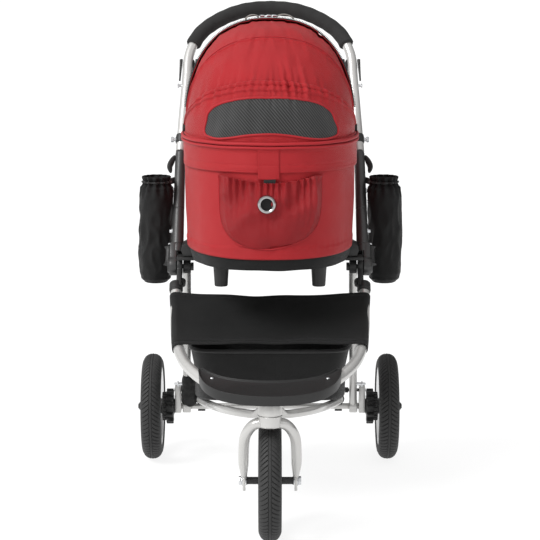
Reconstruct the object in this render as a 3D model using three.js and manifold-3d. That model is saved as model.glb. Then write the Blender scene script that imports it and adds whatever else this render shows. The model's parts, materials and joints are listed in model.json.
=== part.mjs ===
// A three-wheeled jogging stroller with a lift-off enclosed cot, in millimetres.
// +Z is up and the stroller faces -Y. Left and right are as seen from the front, so left is at -X.
// The origin is on the ground under the middle of the stroller's bounds.
import * as THREE from "three";
import { mergeVertices } from "three/addons/utils/BufferGeometryUtils.js";
import Module from "manifold-3d";

const wasm = await Module();
wasm.setup();

// ---------------------------------------------------------------- driving dimensions
const GAP = 0.4; // clearance between pieces that touch
const SIDES = [
  ["left", -1],
  ["right", 1],
];

// wheels
const WHEEL_RADIUS = 115;
const TYRE_HALF_WIDTH = 22;
const BEAD_RADIUS = 82;
const BEAD_HALF_WIDTH = 13;
const REAR_TRACK_HALF = 256;
const REAR_AXLE = { y: 300, z: WHEEL_RADIUS };
const FRONT_AXLE = { y: -300, z: WHEEL_RADIUS };
const HEAD_Y = -364; // steering axis
const CENTRE_Y = -7; // moves the whole stroller so that its bounds are centred on the origin

// chassis tubes
const FRAME_TUBE_R = 11;
const HANDLE_TUBE_R = 10.5;
const LEG_TUBE_R = 8.5;
const LOWER_TUBE_R = 8;
const AXLE_R = 6.5;
const STUB_R = 6;
const SIDE_X = 188;
const JOINT = { y: 20, z: 472 }; // the folding joint at each side
const HANDLE_ANGLE = THREE.MathUtils.degToRad(52); // above the rearward horizontal
const FRONT_ANGLE = THREE.MathUtils.degToRad(222);
const COLLAR_START = 46; // from the folding joint to where the round tubes begin
const COLLAR_END = 62;
const SLEEVE_TOP = 270;
const PIVOT_BOLT_R = 5;

// cot
const COT_HALF_WIDTH = 168;
const COT_HALF_LENGTH = 218;
const COT_SHAPE = 2.35; // exponent of the superellipse that the cot and the hood share
const COT_FLOOR_Z = 500;
const WALL_BOTTOM_Z = 524;
const WALL_TOP_Z = 740;
const HOOD_Z = 752; // height of the hood's pivots
const HOOP_ANGLES = [30, 60, 90]; // above the forward horizontal, closed
const SHELF_TOP = 496;

// ---------------------------------------------------------------- materials
const finish = (color, roughness, metalness = 0) =>
  new THREE.MeshStandardMaterial({ color, roughness, metalness });
const silver = finish(0xd6d5d2, 0.35, 0.6);
const steel = finish(0xb9b7b2, 0.3, 0.9);
const blackPlastic = finish(0x1d1d1f, 0.55);
const blackPaint = finish(0x2a2a2c, 0.45, 0.2);
const foam = finish(0x222222, 0.95);
const rubber = finish(0x232323, 0.9);
const redFabric = finish(0xb3262c, 0.8);
const blackFabric = finish(0x161616, 0.85);

// ---------------------------------------------------------------- solids and booleans
const root = new THREE.Group();
root.position.y = CENTRE_Y;
const V = (x, y, z) => new THREE.Vector3(x, y, z);

function toSolid(geometry) {
  const bare = geometry.clone();
  bare.deleteAttribute("normal");
  bare.deleteAttribute("uv");
  const merged = mergeVertices(bare, 1e-3);
  const vertProperties = new Float32Array(merged.attributes.position.array);
  const triVerts = new Uint32Array(merged.index.array);
  const made = new wasm.Manifold(new wasm.Mesh({ numProp: 3, vertProperties, triVerts }));
  if (made.volume() >= 0) return made;
  for (let i = 0; i < triVerts.length; i += 3) {
    [triVerts[i + 1], triVerts[i + 2]] = [triVerts[i + 2], triVerts[i + 1]];
  }
  return new wasm.Manifold(new wasm.Mesh({ numProp: 3, vertProperties, triVerts }));
}

function toGeometry(solid) {
  const mesh = solid.getMesh();
  const points = new Float32Array(mesh.numVert * 3);
  for (let i = 0; i < mesh.numVert; i++) {
    points.set(mesh.vertProperties.subarray(i * mesh.numProp, i * mesh.numProp + 3), i * 3);
  }
  const geometry = new THREE.BufferGeometry();
  geometry.setAttribute("position", new THREE.BufferAttribute(points, 3));
  geometry.setIndex(new THREE.BufferAttribute(new Uint32Array(mesh.triVerts), 1));
  geometry.computeVertexNormals();
  return geometry;
}

const join = (...solids) => solids.reduce((whole, s) => whole.add(s));
const cut = (whole, ...tools) => tools.reduce((rest, t) => rest.subtract(t), whole);

function addPiece(name, solid, material, parent = root) {
  const mesh = new THREE.Mesh(toGeometry(solid), material);
  mesh.name = name;
  parent.add(mesh);
  return mesh;
}

function addGroup(x, y, z) {
  const group = new THREE.Group();
  group.position.set(x, y, z);
  root.add(group);
  return group;
}

// ---------------------------------------------------------------- basic shapes
function box(x0, x1, y0, y1, z0, z1) {
  const g = new THREE.BoxGeometry(x1 - x0, y1 - y0, z1 - z0);
  return toSolid(g.translate((x0 + x1) / 2, (y0 + y1) / 2, (z0 + z1) / 2));
}

// A cylinder or cone along X, from x0 to x1, about the axis through y, z.
function barX(x0, x1, y, z, r0, sides = 20, r1 = r0) {
  const g = new THREE.CylinderGeometry(r1, r0, x1 - x0, sides);
  return toSolid(g.rotateZ(-Math.PI / 2).translate((x0 + x1) / 2, y, z));
}

// A cylinder or cone along Z, from z0 to z1.
function barZ(z0, z1, x, y, r0, sides = 20, r1 = r0) {
  const g = new THREE.CylinderGeometry(r1, r0, z1 - z0, sides);
  return toSolid(g.rotateX(Math.PI / 2).translate(x, y, (z0 + z1) / 2));
}

function roundSection(radius, sides) {
  const points = [];
  for (let i = 0; i < sides; i++) {
    const a = (2 * Math.PI * i) / sides;
    points.push(new THREE.Vector2(radius * Math.cos(a), radius * Math.sin(a)));
  }
  return new THREE.Shape(points);
}

function sweep(curve, radius, steps, sides = 10) {
  const settings = { steps, bevelEnabled: false, extrudePath: curve };
  return toSolid(new THREE.ExtrudeGeometry(roundSection(radius, sides), settings));
}

// A straight bar or cone between two points.
function strut(a, b, r0, r1 = r0, sides = 12) {
  const g = new THREE.CylinderGeometry(r1, r0, a.distanceTo(b), sides);
  const turn = new THREE.Quaternion().setFromUnitVectors(V(0, 1, 0), b.clone().sub(a).normalize());
  const middle = a.clone().add(b).multiplyScalar(0.5);
  return toSolid(g.applyQuaternion(turn).translate(middle.x, middle.y, middle.z));
}

// An outline in the YZ plane, extruded along X from x0 to x1.
function profileX(points, x0, x1) {
  const shape = new THREE.Shape(points.map(([y, z]) => new THREE.Vector2(y, z)));
  const g = new THREE.ExtrudeGeometry(shape, { depth: x1 - x0, bevelEnabled: false });
  return toSolid(g.rotateY(Math.PI / 2).rotateX(Math.PI / 2).translate(x0, 0, 0));
}

// A solid of revolution about the X axis: points are [x, radius], starting and ending on the axis or closed.
function latheX(points, segments) {
  const profile = points.map(([x, r]) => new THREE.Vector2(r, x));
  return toSolid(new THREE.LatheGeometry(profile, segments).rotateZ(-Math.PI / 2));
}

// ---------------------------------------------------------------- wheels
const WHEEL_SEGMENTS = 28;

function tyre() {
  const half = [
    [BEAD_HALF_WIDTH, BEAD_RADIUS],
    [20, 87],
    [TYRE_HALF_WIDTH, 95],
    [20, 104],
    [14, 111],
    [7, WHEEL_RADIUS],
  ];
  const outline = half.map(([x, r]) => [-x, r]);
  outline.push(...half.reverse(), [-BEAD_HALF_WIDTH, BEAD_RADIUS]);
  const round = 1 / Math.cos(Math.PI / WHEEL_SEGMENTS); // flats at the true radius
  const ring = latheX(outline.map(([x, r]) => [x, r * round]), WHEEL_SEGMENTS);
  return ring.rotate([180 / WHEEL_SEGMENTS, 0, 0]);
}

function rim(boreRadius, hubHalfWidth) {
  const outer = BEAD_RADIUS - GAP;
  const half = [
    [BEAD_HALF_WIDTH, outer],
    [BEAD_HALF_WIDTH, 77],
    [7, 71],
  ];
  const section = [...half, ...half.map(([x, r]) => [-x, r]).reverse(), half[0]];
  const ring = latheX(section, 24);
  const spokes = [];
  for (let i = 0; i < 6; i++) {
    spokes.push(box(-5, 5, -5, 5, 12, 73).rotate([60 * i + 30, 0, 0]));
  }
  const hub = barX(-hubHalfWidth, hubHalfWidth, 0, 0, 18, 16);
  return cut(join(ring, hub, ...spokes), barX(-60, 60, 0, 0, boreRadius, 20));
}

// The notched ring that the parking-brake pin drops into, and the drum that joins it to the wheel.
const BRAKE_TEETH = 12;
const BRAKE_RING = { root: 29, tip: 39, x0: 211, x1: 226 };
const BRAKE_PIN = { y: 296, z: 152, r: 3.5, travel: 12 };

function brakeRing(side) {
  const pinAngle = Math.atan2(BRAKE_PIN.z - REAR_AXLE.z, BRAKE_PIN.y - REAR_AXLE.y);
  const pitch = (2 * Math.PI) / BRAKE_TEETH;
  const tooth = [
    [0.3, BRAKE_RING.root],
    [0.3, BRAKE_RING.tip],
    [0.7, BRAKE_RING.tip],
    [0.7, BRAKE_RING.root],
  ];
  const outline = [];
  for (let i = 0; i < BRAKE_TEETH; i++) {
    for (const [share, r] of tooth) {
      const a = pinAngle + pitch * (i + share);
      outline.push([r * Math.cos(a), r * Math.sin(a)]);
    }
  }
  const drumEnd = REAR_TRACK_HALF - 20 - GAP;
  const ring = profileX(outline, BRAKE_RING.x0, BRAKE_RING.x1);
  const drum = barX(BRAKE_RING.x1 - 1, drumEnd, 0, 0, 31.5, 24);
  const whole = cut(join(ring, drum), barX(200, 260, 0, 0, STUB_R + GAP, 20));
  return (side < 0 ? whole.mirror([1, 0, 0]) : whole).translate([-side * REAR_TRACK_HALF, 0, 0]);
}

for (const [name, side] of SIDES) {
  const wheel = addGroup(side * REAR_TRACK_HALF, REAR_AXLE.y, REAR_AXLE.z);
  addPiece(`rear_tyre_${name}`, tyre(), rubber, wheel);
  addPiece(`rear_rim_${name}`, rim(STUB_R + GAP, 20), silver, wheel);
  addPiece(`brake_ring_${name}`, brakeRing(side), blackPlastic, wheel);
}

const frontWheel = addGroup(0, FRONT_AXLE.y, FRONT_AXLE.z);
const FRONT_HUB_R = 7.5;
const FRONT_AXLE_R = 4;
addPiece("front_tyre", tyre(), rubber, frontWheel);
addPiece("front_rim", rim(FRONT_HUB_R + GAP, 20), silver, frontWheel);
const frontHub = cut(barX(-45, 45, 0, 0, FRONT_HUB_R, 16), barX(-46, 46, 0, 0, FRONT_AXLE_R + GAP, 12));
addPiece("front_hub", frontHub, blackPlastic, frontWheel);

// ---------------------------------------------------------------- fork
const CROWN = { r: 23, z0: 236, z1: 258.5 };
const HEAD_TOP = 281;
const DROPOUT = { x0: 46, x1: 52 };

function forkLeg(side) {
  const path = new THREE.CatmullRomCurve3([
    V(side * 6, HEAD_Y, 244),
    V(side * 29, HEAD_Y + 4, 239),
    V(side * 45, HEAD_Y + 15, 216),
    V(side * 49.5, HEAD_Y + 33, 176),
    V(side * 49.5, HEAD_Y + 51, 138),
    V(side * 49, FRONT_AXLE.y - 1, 121),
  ]);
  const [x0, x1] = [side * DROPOUT.x0, side * DROPOUT.x1].sort((a, b) => a - b);
  const plate = barX(x0, x1, FRONT_AXLE.y, FRONT_AXLE.z, 12, 16);
  const spare = (from, to) => {
    const [x0, x1] = [side * from, side * to].sort((a, b) => a - b);
    return box(x0, x1, FRONT_AXLE.y - 20, FRONT_AXLE.y + 20, 95, 133);
  };
  return join(cut(sweep(path, 9.5, 14), spare(20, DROPOUT.x0), spare(DROPOUT.x1, 70)), plate);
}

const crown = barZ(CROWN.z0, CROWN.z1, 0, HEAD_Y, CROWN.r - 3, 24, CROWN.r);
const steerer = barZ(CROWN.z1 - 1, HEAD_TOP - 2, 0, HEAD_Y, 9, 16);
const axleHole = barX(-60, 60, FRONT_AXLE.y, FRONT_AXLE.z, FRONT_AXLE_R + GAP, 12);
addPiece("front_fork", cut(join(crown, steerer, forkLeg(-1), forkLeg(1)), axleHole), silver);

addPiece("front_axle", barX(-57, 57, FRONT_AXLE.y, FRONT_AXLE.z, FRONT_AXLE_R, 12), steel);
for (const [name, side] of SIDES) {
  const reach = [side * (DROPOUT.x1 + GAP), side * 60].sort((a, b) => a - b);
  const nut = barX(reach[0], reach[1], FRONT_AXLE.y, FRONT_AXLE.z, 9, 6);
  const bore = barX(-62, 62, FRONT_AXLE.y, FRONT_AXLE.z, FRONT_AXLE_R + GAP / 2, 12);
  addPiece(`front_axle_nut_${name}`, cut(nut, bore), steel);
}

// ---------------------------------------------------------------- front frame
// Distances along the two straight lines that meet at the folding joint.
const along = (angle, d, x) => V(x, JOINT.y + d * Math.cos(angle), JOINT.z + d * Math.sin(angle));
const alongHandle = (d, x) => along(HANDLE_ANGLE, d, x);
const alongFront = (d, x) => along(FRONT_ANGLE, d, x);

const halfFront = (side) => [
  alongFront(COLLAR_END + 3, side * SIDE_X),
  V(side * 187, -70, 395),
  V(side * 183, -130, 358),
  V(side * 171, -198, 334),
  V(side * 149, -258, 319),
  V(side * 113, -312, 306),
  V(side * 58, -355, 296),
];
const FRONT_CENTRE = V(0, -371, 292);
const frontPath = new THREE.CatmullRomCurve3([...halfFront(-1), FRONT_CENTRE, ...halfFront(1).reverse()]);
const FRONT_STEPS = 32;
const frontClearance = sweep(frontPath, FRAME_TUBE_R + GAP, FRONT_STEPS);
addPiece("front_frame_tube", sweep(frontPath, FRAME_TUBE_R, FRONT_STEPS), silver);

// head tube with the plate that carries the front frame on it
const headBarrel = barZ(CROWN.z1 + GAP, HEAD_TOP, 0, HEAD_Y, CROWN.r, 24);
const headPlate = box(-62, 62, HEAD_Y - 15, HEAD_Y + 26, HEAD_TOP - 2, HEAD_TOP + 3);
const steererBore = barZ(CROWN.z1 - 2, HEAD_TOP - 1, 0, HEAD_Y, 9 + GAP, 16);
addPiece("head_tube", cut(join(headBarrel, headPlate), steererBore, frontClearance), silver);

// lower tubes from the head back to the saddles that hold the rear axle
const SADDLE = { x: 150, halfWidth: 8, inner: AXLE_R + 0.6, outer: 15 };
for (const [name, side] of SIDES) {
  const path = new THREE.CatmullRomCurve3([
    V(side * 8, HEAD_Y + 13, 271),
    V(side * 16, HEAD_Y + 32, 260),
    V(side * 27, HEAD_Y + 54, 247),
    V(side * 52, -286, 243),
    V(side * 85, -240, 238),
    V(side * 120, -70, 207),
    V(side * 146, 150, 164),
    V(side * SADDLE.x, 276, 137),
  ]);
  const clear = barZ(250, 290, 0, HEAD_Y, CROWN.r + GAP, 24);
  addPiece(`lower_tube_${name}`, cut(sweep(path, LOWER_TUBE_R, 14, 8), clear, frontClearance), silver);

  const outline = [];
  for (let a = -60; a <= 130; a += 19) {
    const t = THREE.MathUtils.degToRad(a);
    outline.push([REAR_AXLE.y + SADDLE.outer * Math.cos(t), REAR_AXLE.z + SADDLE.outer * Math.sin(t)]);
  }
  for (let a = 130; a >= -60; a -= 19) {
    const t = THREE.MathUtils.degToRad(a);
    outline.push([REAR_AXLE.y + SADDLE.inner * Math.cos(t), REAR_AXLE.z + SADDLE.inner * Math.sin(t)]);
  }
  const x0 = side * SADDLE.x - SADDLE.halfWidth;
  const hook = profileX(outline, x0, x0 + 2 * SADDLE.halfWidth);
  const socket = strut(V(side * SADDLE.x, 262, 140), V(side * SADDLE.x, 294, 132.5), 11.5, 11.5, 12);
  const axleRoom = barX(-200, 200, REAR_AXLE.y, REAR_AXLE.z, SADDLE.inner, 20);
  const tubeRoom = sweep(path, LOWER_TUBE_R + GAP, 14, 8);
  addPiece(`axle_saddle_${name}`, cut(join(hook, socket), axleRoom, tubeRoom), blackPlastic);
}

// footplate: a moulded crescent over the front bend of the tube, in the plane of that bend
const BEND_SLOPE = Math.atan2(334 - 292, 371 - 198);
function footplate() {
  const front = [[0, -28], [24, -27], [54, -19], [86, 0], [108, 28], [124, 62], [131, 90]];
  const back = [[110, 72], [88, 56], [50, 43], [0, 38]];
  const half = [...front, ...back];
  const mirrored = [...half].reverse().map(([x, s]) => [-x, s]).filter(([x]) => x !== 0);
  const shape = new THREE.Shape([...half, ...mirrored].map(([x, s]) => new THREE.Vector2(x, s)));
  const g = new THREE.ExtrudeGeometry(shape, { depth: 20, bevelEnabled: false });
  g.translate(0, 0, -3).rotateX(BEND_SLOPE);
  return toSolid(g.translate(0, FRONT_CENTRE.y, FRONT_CENTRE.z));
}
addPiece("footplate", cut(footplate(), frontClearance), blackPlastic);

// front panel: a cloth apron stretched over the side tubes
const PANEL_PATH = [[-28, 427], [-70, 394], [-110, 369], [-150, 350], [-176, 341]];
function offsetPath(points, distance) {
  return points.map(([y, z], i) => {
    const before = points[Math.max(0, i - 1)];
    const after = points[Math.min(points.length - 1, i + 1)];
    const length = Math.hypot(after[0] - before[0], after[1] - before[1]);
    const [ty, tz] = [(after[0] - before[0]) / length, (after[1] - before[1]) / length];
    return [y + tz * distance, z - ty * distance];
  });
}
function apron() {
  const [top, bottom] = [201, 189.5]; // half widths outside the side tubes
  const [yTop, yBottom] = [PANEL_PATH[0][0], PANEL_PATH[PANEL_PATH.length - 1][0]];
  const edge = (y) => bottom + ((top - bottom) * (y - yBottom)) / (yTop - yBottom);
  const block = (extra) => {
    const corner = (side, y) => new THREE.Vector2(side * (edge(y) + extra), y);
    const [low, high] = [-260, 60];
    const shape = new THREE.Shape([corner(-1, high), corner(-1, low), corner(1, low), corner(1, high)]);
    return toSolid(new THREE.ExtrudeGeometry(shape, { depth: 500, bevelEnabled: false }));
  };
  const band = (a, b) => {
    const outline = [...offsetPath(PANEL_PATH, a), ...offsetPath(PANEL_PATH, b).reverse()];
    return profileX(outline, -230, 230);
  };
  const sheet = band(12.5, 16).intersect(block(3));
  const wraps = band(-9, 14).intersect(block(3)).subtract(block(0));
  return join(sheet, wraps);
}
addPiece("front_panel", cut(apron(), frontClearance), blackFabric);

// basket: an open-topped cloth tub between the legs
function cornerBox(bottom, top) {
  const g = new THREE.BoxGeometry(1, 1, 1);
  const p = g.attributes.position;
  for (let i = 0; i < p.count; i++) {
    const level = p.getZ(i) > 0 ? top : bottom;
    const end = p.getY(i) > 0 ? level.rear : level.front;
    p.setXYZ(i, Math.sign(p.getX(i)) * end.halfWidth, end.y, end.z);
  }
  return toSolid(g);
}
const basketOuter = cornerBox(
  { front: { halfWidth: 112, y: -120, z: 240 }, rear: { halfWidth: 150, y: 236, z: 172 } },
  { front: { halfWidth: 156, y: -160, z: 322 }, rear: { halfWidth: 157, y: 250, z: 322 } },
);
const basketInner = cornerBox(
  { front: { halfWidth: 108, y: -116, z: 244 }, rear: { halfWidth: 146, y: 232, z: 176 } },
  { front: { halfWidth: 152, y: -157, z: 323 }, rear: { halfWidth: 153, y: 246, z: 323 } },
);
addPiece("basket", cut(basketOuter, basketInner), blackFabric);

// ---------------------------------------------------------------- folding joints
const LAYER = { leg: [160, 175], frame: [176.5, 187.5], handle: [188, 203] };
const HUB_R = 18;
const mirrorIf = (solid, side) => (side < 0 ? solid.mirror([1, 0, 0]) : solid);
const boltHole = barX(140, 220, JOINT.y, JOINT.z, PIVOT_BOLT_R + GAP, 16);

// A flat web from the joint along one of the two lines, in one layer.
function web([x0, x1], angle, length) {
  const g = new THREE.BoxGeometry(x1 - x0, length, 24);
  g.translate((x0 + x1) / 2, length / 2, 0).rotateX(angle);
  return toSolid(g.translate(0, JOINT.y, JOINT.z));
}

for (const [name, side] of SIDES) {
  const disc = barX(LAYER.frame[0], LAYER.frame[1], JOINT.y, JOINT.z, HUB_R, 24);
  const collar = strut(alongFront(COLLAR_START, SIDE_X), alongFront(COLLAR_END, SIDE_X), 13.5, 13.5, 16);
  const shelf = box(150, LAYER.frame[1], JOINT.y - 32, JOINT.y + 32, 489, SHELF_TOP);
  const neck = box(LAYER.frame[0], LAYER.frame[1], JOINT.y - 10, JOINT.y + 10, JOINT.z, 491);
  const hub = cut(join(disc, web(LAYER.frame, FRONT_ANGLE, COLLAR_END), collar, shelf, neck), boltHole);
  addPiece(`frame_hub_${name}`, mirrorIf(hub, side), blackPlastic);

  const shank = barX(157, 205, JOINT.y, JOINT.z, PIVOT_BOLT_R, 16);
  const heads = [barX(154, 159.5, JOINT.y, JOINT.z, 9, 6), barX(203.5, 208, JOINT.y, JOINT.z, 10, 20)];
  addPiece(`pivot_bolt_${name}`, mirrorIf(join(shank, ...heads), side), steel);
}

// ---------------------------------------------------------------- handle frame
const BAR_NARROW_X = 172;
const SLEEVE_TOP_X = 186.5;
const BAR_BEND = 528; // where the grip and the arch begin
const halfBar = (side) => [
  alongHandle(SLEEVE_TOP + 2, side * SLEEVE_TOP_X),
  alongHandle(360, side * 182),
  alongHandle(450, side * 177),
  alongHandle(BAR_BEND - 8, side * BAR_NARROW_X),
  alongHandle(573, side * 149),
  alongHandle(611, side * 105),
  alongHandle(633, side * 55),
];
const barPath = new THREE.CatmullRomCurve3([...halfBar(-1), alongHandle(639, 0), ...halfBar(1).reverse()]);
addPiece("handle_bar", sweep(barPath, HANDLE_TUBE_R, 32), silver);

// The part of a curve between two shares of its length.
class Stretch extends THREE.Curve {
  constructor(curve, from, to) {
    super();
    Object.assign(this, { curve, from, to });
  }
  getPoint(t, target = new THREE.Vector3()) {
    return this.curve.getPointAt(this.from + (this.to - this.from) * t, target);
  }
}
const GRIP_START = 0.285;
const gripPath = new Stretch(barPath, GRIP_START, 1 - GRIP_START);
const gripBore = new Stretch(barPath, GRIP_START - 0.01, 1.01 - GRIP_START);
const gripRoom = sweep(gripBore, HANDLE_TUBE_R + 1.4, 22, 8);
addPiece("handle_grip", cut(sweep(gripPath, 16, 20, 10), gripRoom), foam);

for (const [name, side] of SIDES) {
  const disc = barX(LAYER.handle[0], LAYER.handle[1], JOINT.y, JOINT.z, HUB_R, 24);
  const tubeEnds = [alongHandle(COLLAR_START, SIDE_X), alongHandle(SLEEVE_TOP, SLEEVE_TOP_X)];
  const tube = strut(...tubeEnds, 12.5, 10.5, 16);
  const sleeve = cut(join(disc, web(LAYER.handle, HANDLE_ANGLE, COLLAR_END), tube), boltHole);
  addPiece(`side_sleeve_${name}`, mirrorIf(sleeve, side), blackPaint);

  const bolt = alongHandle(178, 0);
  const from = SIDE_X + 9.4;
  const boltSolid = join(
    barX(from + 1.5, from + 7, bolt.y, bolt.z, 5.5, 12),
    barX(from + 6, from + 9, bolt.y, bolt.z, 4, 12),
  );
  addPiece(`sleeve_bolt_${name}`, mirrorIf(boltSolid, side), steel);
}

// Release sliders under the grip: pulled up along the bar, they free the folding joints. Each bore
// also clears the bar where the slider ends its travel, because the bar bends inwards there.
const SLIDER_TRAVEL = 12;
const sliderRoom = [0, 0.5, 1].map((share) => {
  const back = alongHandle(-share * SLIDER_TRAVEL, 0).sub(alongHandle(0, 0));
  return sweep(new Stretch(barPath, 0.15, 0.3), HANDLE_TUBE_R + 1, 16, 12).translate(back.toArray());
});
for (const [name, side] of SIDES) {
  const xAt = (d) => 177 - ((d - 450) * (177 - BAR_NARROW_X)) / 70;
  const at = (d, out) => alongHandle(d, xAt(d) + out);
  const ring = strut(at(482, 0), at(504, 0), 15.5, 15.5, 16);
  const tabs = [-1, 1].map((out) => strut(at(450, out * 15.5), at(504, out * 17), 2.2, 4.2, 8));
  const rooms = sliderRoom.map((room) => room.mirror([1, 0, 0]));
  addPiece(`release_slider_${name}`, mirrorIf(cut(join(ring, ...tabs), ...rooms), side), blackPlastic);
}

// Drawstring pouches hanging outside the sleeves.
const POUCH = { x: 236, y: 112, r: 32, bottom: 421, top: 645 };
for (const [name, side] of SIDES) {
  const lower = [[0, 0], [20, 2], [29, 12], [POUCH.r, 32], [POUCH.r, 150]];
  const upper = [[31, 186], [24, 206], [12, 219], [0, POUCH.top - POUCH.bottom]];
  const profile = [...lower, ...upper].map(([r, h]) => new THREE.Vector2(r, h));
  const body = new THREE.LatheGeometry(profile, 20).rotateX(Math.PI / 2);
  const bag = toSolid(body.translate(side * POUCH.x, POUCH.y, POUCH.bottom));
  addPiece(`pouch_${name}`, bag, blackFabric);
}

// ---------------------------------------------------------------- rear legs, axle and brake
const LEG_X = { top: 167.5, bottom: 182 };
const aroundAxle = (points) => points.map(([y, z]) => [REAR_AXLE.y + y, REAR_AXLE.z + z]);
for (const [name, side] of SIDES) {
  const top = V(LEG_X.top, JOINT.y, JOINT.z);
  const foot = V(LEG_X.bottom, REAR_AXLE.y, REAR_AXLE.z);
  const tube = strut(top.clone().lerp(foot, 0.02), top.clone().lerp(foot, 0.975), LEG_TUBE_R, LEG_TUBE_R, 14);
  const knuckle = barX(LAYER.leg[0], LAYER.leg[1], JOINT.y, JOINT.z, 14, 20);
  const clamp = barX(LEG_X.bottom - 9, LEG_X.bottom + 9, REAR_AXLE.y, REAR_AXLE.z, 14.5, 20);
  const legSpace = box(LAYER.leg[1], 260, JOINT.y - 30, JOINT.y + 30, JOINT.z - 22, JOINT.z + 22);
  const axleRoom = barX(-300, 300, REAR_AXLE.y, REAR_AXLE.z, AXLE_R + GAP, 20);
  const leg = cut(join(cut(tube, legSpace), knuckle, clamp), boltHole, axleRoom);
  addPiece(`rear_leg_${name}`, mirrorIf(leg, side), silver);

  const blockOutline = [[-13, -14], [13, -14], [13, 30], [6, 46], [-14, 46], [-14, 10]];
  const block = profileX(aroundAxle(blockOutline), 194, 208);
  const pinBore = barX(100, 260, BRAKE_PIN.y, BRAKE_PIN.z, BRAKE_PIN.r + GAP, 12);
  addPiece(`brake_guide_${name}`, mirrorIf(cut(block, axleRoom, pinBore), side), blackPlastic);

  const pin = join(
    barX(167, 209, BRAKE_PIN.y, BRAKE_PIN.z, BRAKE_PIN.r, 12),
    barX(164, 171, BRAKE_PIN.y, BRAKE_PIN.z, 6, 12),
  );
  addPiece(`brake_pin_${name}`, mirrorIf(pin, side), blackPlastic);

  const cap = barX(276.5, 289, REAR_AXLE.y, REAR_AXLE.z, 12, 16, 8);
  addPiece(`axle_cap_${name}`, mirrorIf(cap, side), steel);
}
const halfAxle = [[210, AXLE_R], [210, STUB_R], [276, STUB_R], [276, 0]];
const axleBar = latheX([...halfAxle.map(([x, r]) => [-x, r]).reverse(), ...halfAxle], 16);
addPiece("rear_axle", axleBar.translate([0, REAR_AXLE.y, REAR_AXLE.z]), silver);

const pedalRing = barX(-24, 24, REAR_AXLE.y, REAR_AXLE.z, 15, 20);
const armOutline = [[4, 4], [10, 12], [48, 22], [66, 20], [66, 14], [48, 14], [12, -2]];
const pedalArm = profileX(aroundAxle(armOutline), -24, 24);
const pedalBore = barX(-30, 30, REAR_AXLE.y, REAR_AXLE.z, AXLE_R + GAP, 20);
addPiece("brake_pedal", cut(join(pedalRing, pedalArm), pedalBore), blackPlastic);

// ---------------------------------------------------------------- cot
const superR = (u, n = COT_SHAPE) => Math.pow(Math.max(0, 1 - Math.pow(Math.abs(u), n)), 1 / n);

function superOutline(a, b, count = 36) {
  const points = [];
  for (let i = 0; i < count; i++) {
    const t = (2 * Math.PI * i) / count;
    const [c, s] = [Math.cos(t), Math.sin(t)];
    const sum = Math.pow(Math.abs(c), COT_SHAPE) + Math.pow(Math.abs(s), COT_SHAPE);
    const k = Math.pow(sum, -1 / COT_SHAPE);
    points.push(new THREE.Vector2(a * c * k, b * s * k));
  }
  return points;
}

// A superellipse prism whose lower end is scaled by taper.
function prism(a, b, z0, z1, taper = 1, count = 36) {
  const shape = new THREE.Shape(superOutline(a, b, count));
  const g = new THREE.ExtrudeGeometry(shape, { depth: z1 - z0, bevelEnabled: false });
  const p = g.attributes.position;
  for (let i = 0; i < p.count; i++) {
    const s = p.getZ(i) > 1 ? 1 : taper;
    p.setXY(i, p.getX(i) * s, p.getY(i) * s);
  }
  return toSolid(g.translate(0, 0, z0));
}

const WALL = 3;
const wall = cut(
  prism(COT_HALF_WIDTH, COT_HALF_LENGTH, WALL_BOTTOM_Z, WALL_TOP_Z, 0.975),
  prism(COT_HALF_WIDTH - WALL, COT_HALF_LENGTH - WALL, WALL_BOTTOM_Z - 0.5, WALL_TOP_Z + 0.5, 0.975),
);
addPiece("cot_wall", wall, redFabric);

const rimBand = cut(
  prism(COT_HALF_WIDTH + 4, COT_HALF_LENGTH + 4, WALL_TOP_Z - 12, WALL_TOP_Z),
  prism(COT_HALF_WIDTH + GAP, COT_HALF_LENGTH + GAP, WALL_TOP_Z - 13, WALL_TOP_Z + 1),
);
addPiece("cot_rim", rimBand, redFabric);

const FOOT = { x: 95, y: 130, top: 15.5, bottom: 13, z: 459 };
const foot = (x, y) => barZ(FOOT.z, COT_FLOOR_Z + 1, x, y, FOOT.bottom, 16, FOOT.top);
const feet = [-1, 1].flatMap((sx) => [-1, 1].map((sy) => foot(sx * FOOT.x, sy * FOOT.y)));
const arm = box(152, 174, JOINT.y - 28, JOINT.y + 28, SHELF_TOP + GAP, 513);
const arms = [-1, 1].map((side) => mirrorIf(arm, side));
const floor = prism(165, 209, COT_FLOOR_Z, WALL_BOTTOM_Z - GAP, 0.95);
addPiece("cot_base", join(floor, ...feet, ...arms), blackPlastic);

addPiece("cot_mattress", prism(152, 196, WALL_BOTTOM_Z + GAP, 548, 1, 28), blackFabric);

// ---------------------------------------------------------------- hood
const HOOD_SEGMENTS = 36;
const HOOD_STEPS = 14;
function domeSolid(inset) {
  const [a, r] = [COT_HALF_WIDTH - inset, COT_HALF_LENGTH - inset];
  const points = [];
  for (let i = 0; i <= HOOD_STEPS; i++) {
    const u = -Math.cos((Math.PI * i) / HOOD_STEPS);
    points.push([a * u, i === 0 || i === HOOD_STEPS ? 0 : r * superR(u)]);
  }
  return latheX(points, HOOD_SEGMENTS);
}
const layer = (from, to) => domeSolid(from).subtract(domeSolid(to));

// A wedge about the X axis between two angles above the forward horizontal.
function wedge(from, to) {
  const outline = [[0, 0]];
  for (let i = 0; i <= 4; i++) {
    const a = Math.PI - THREE.MathUtils.degToRad(from + ((to - from) * i) / 4);
    outline.push([500 * Math.cos(a), 500 * Math.sin(a)]);
  }
  return profileX(outline, -200, 200);
}
const pivotRoom = barX(-200, 200, 0, 0, 12, 16);
const hoodPanel = (from, to, inset, thickness) =>
  cut(layer(inset, inset + thickness).intersect(wedge(from, to)), pivotRoom).translate([0, 0, HOOD_Z]);

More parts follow.
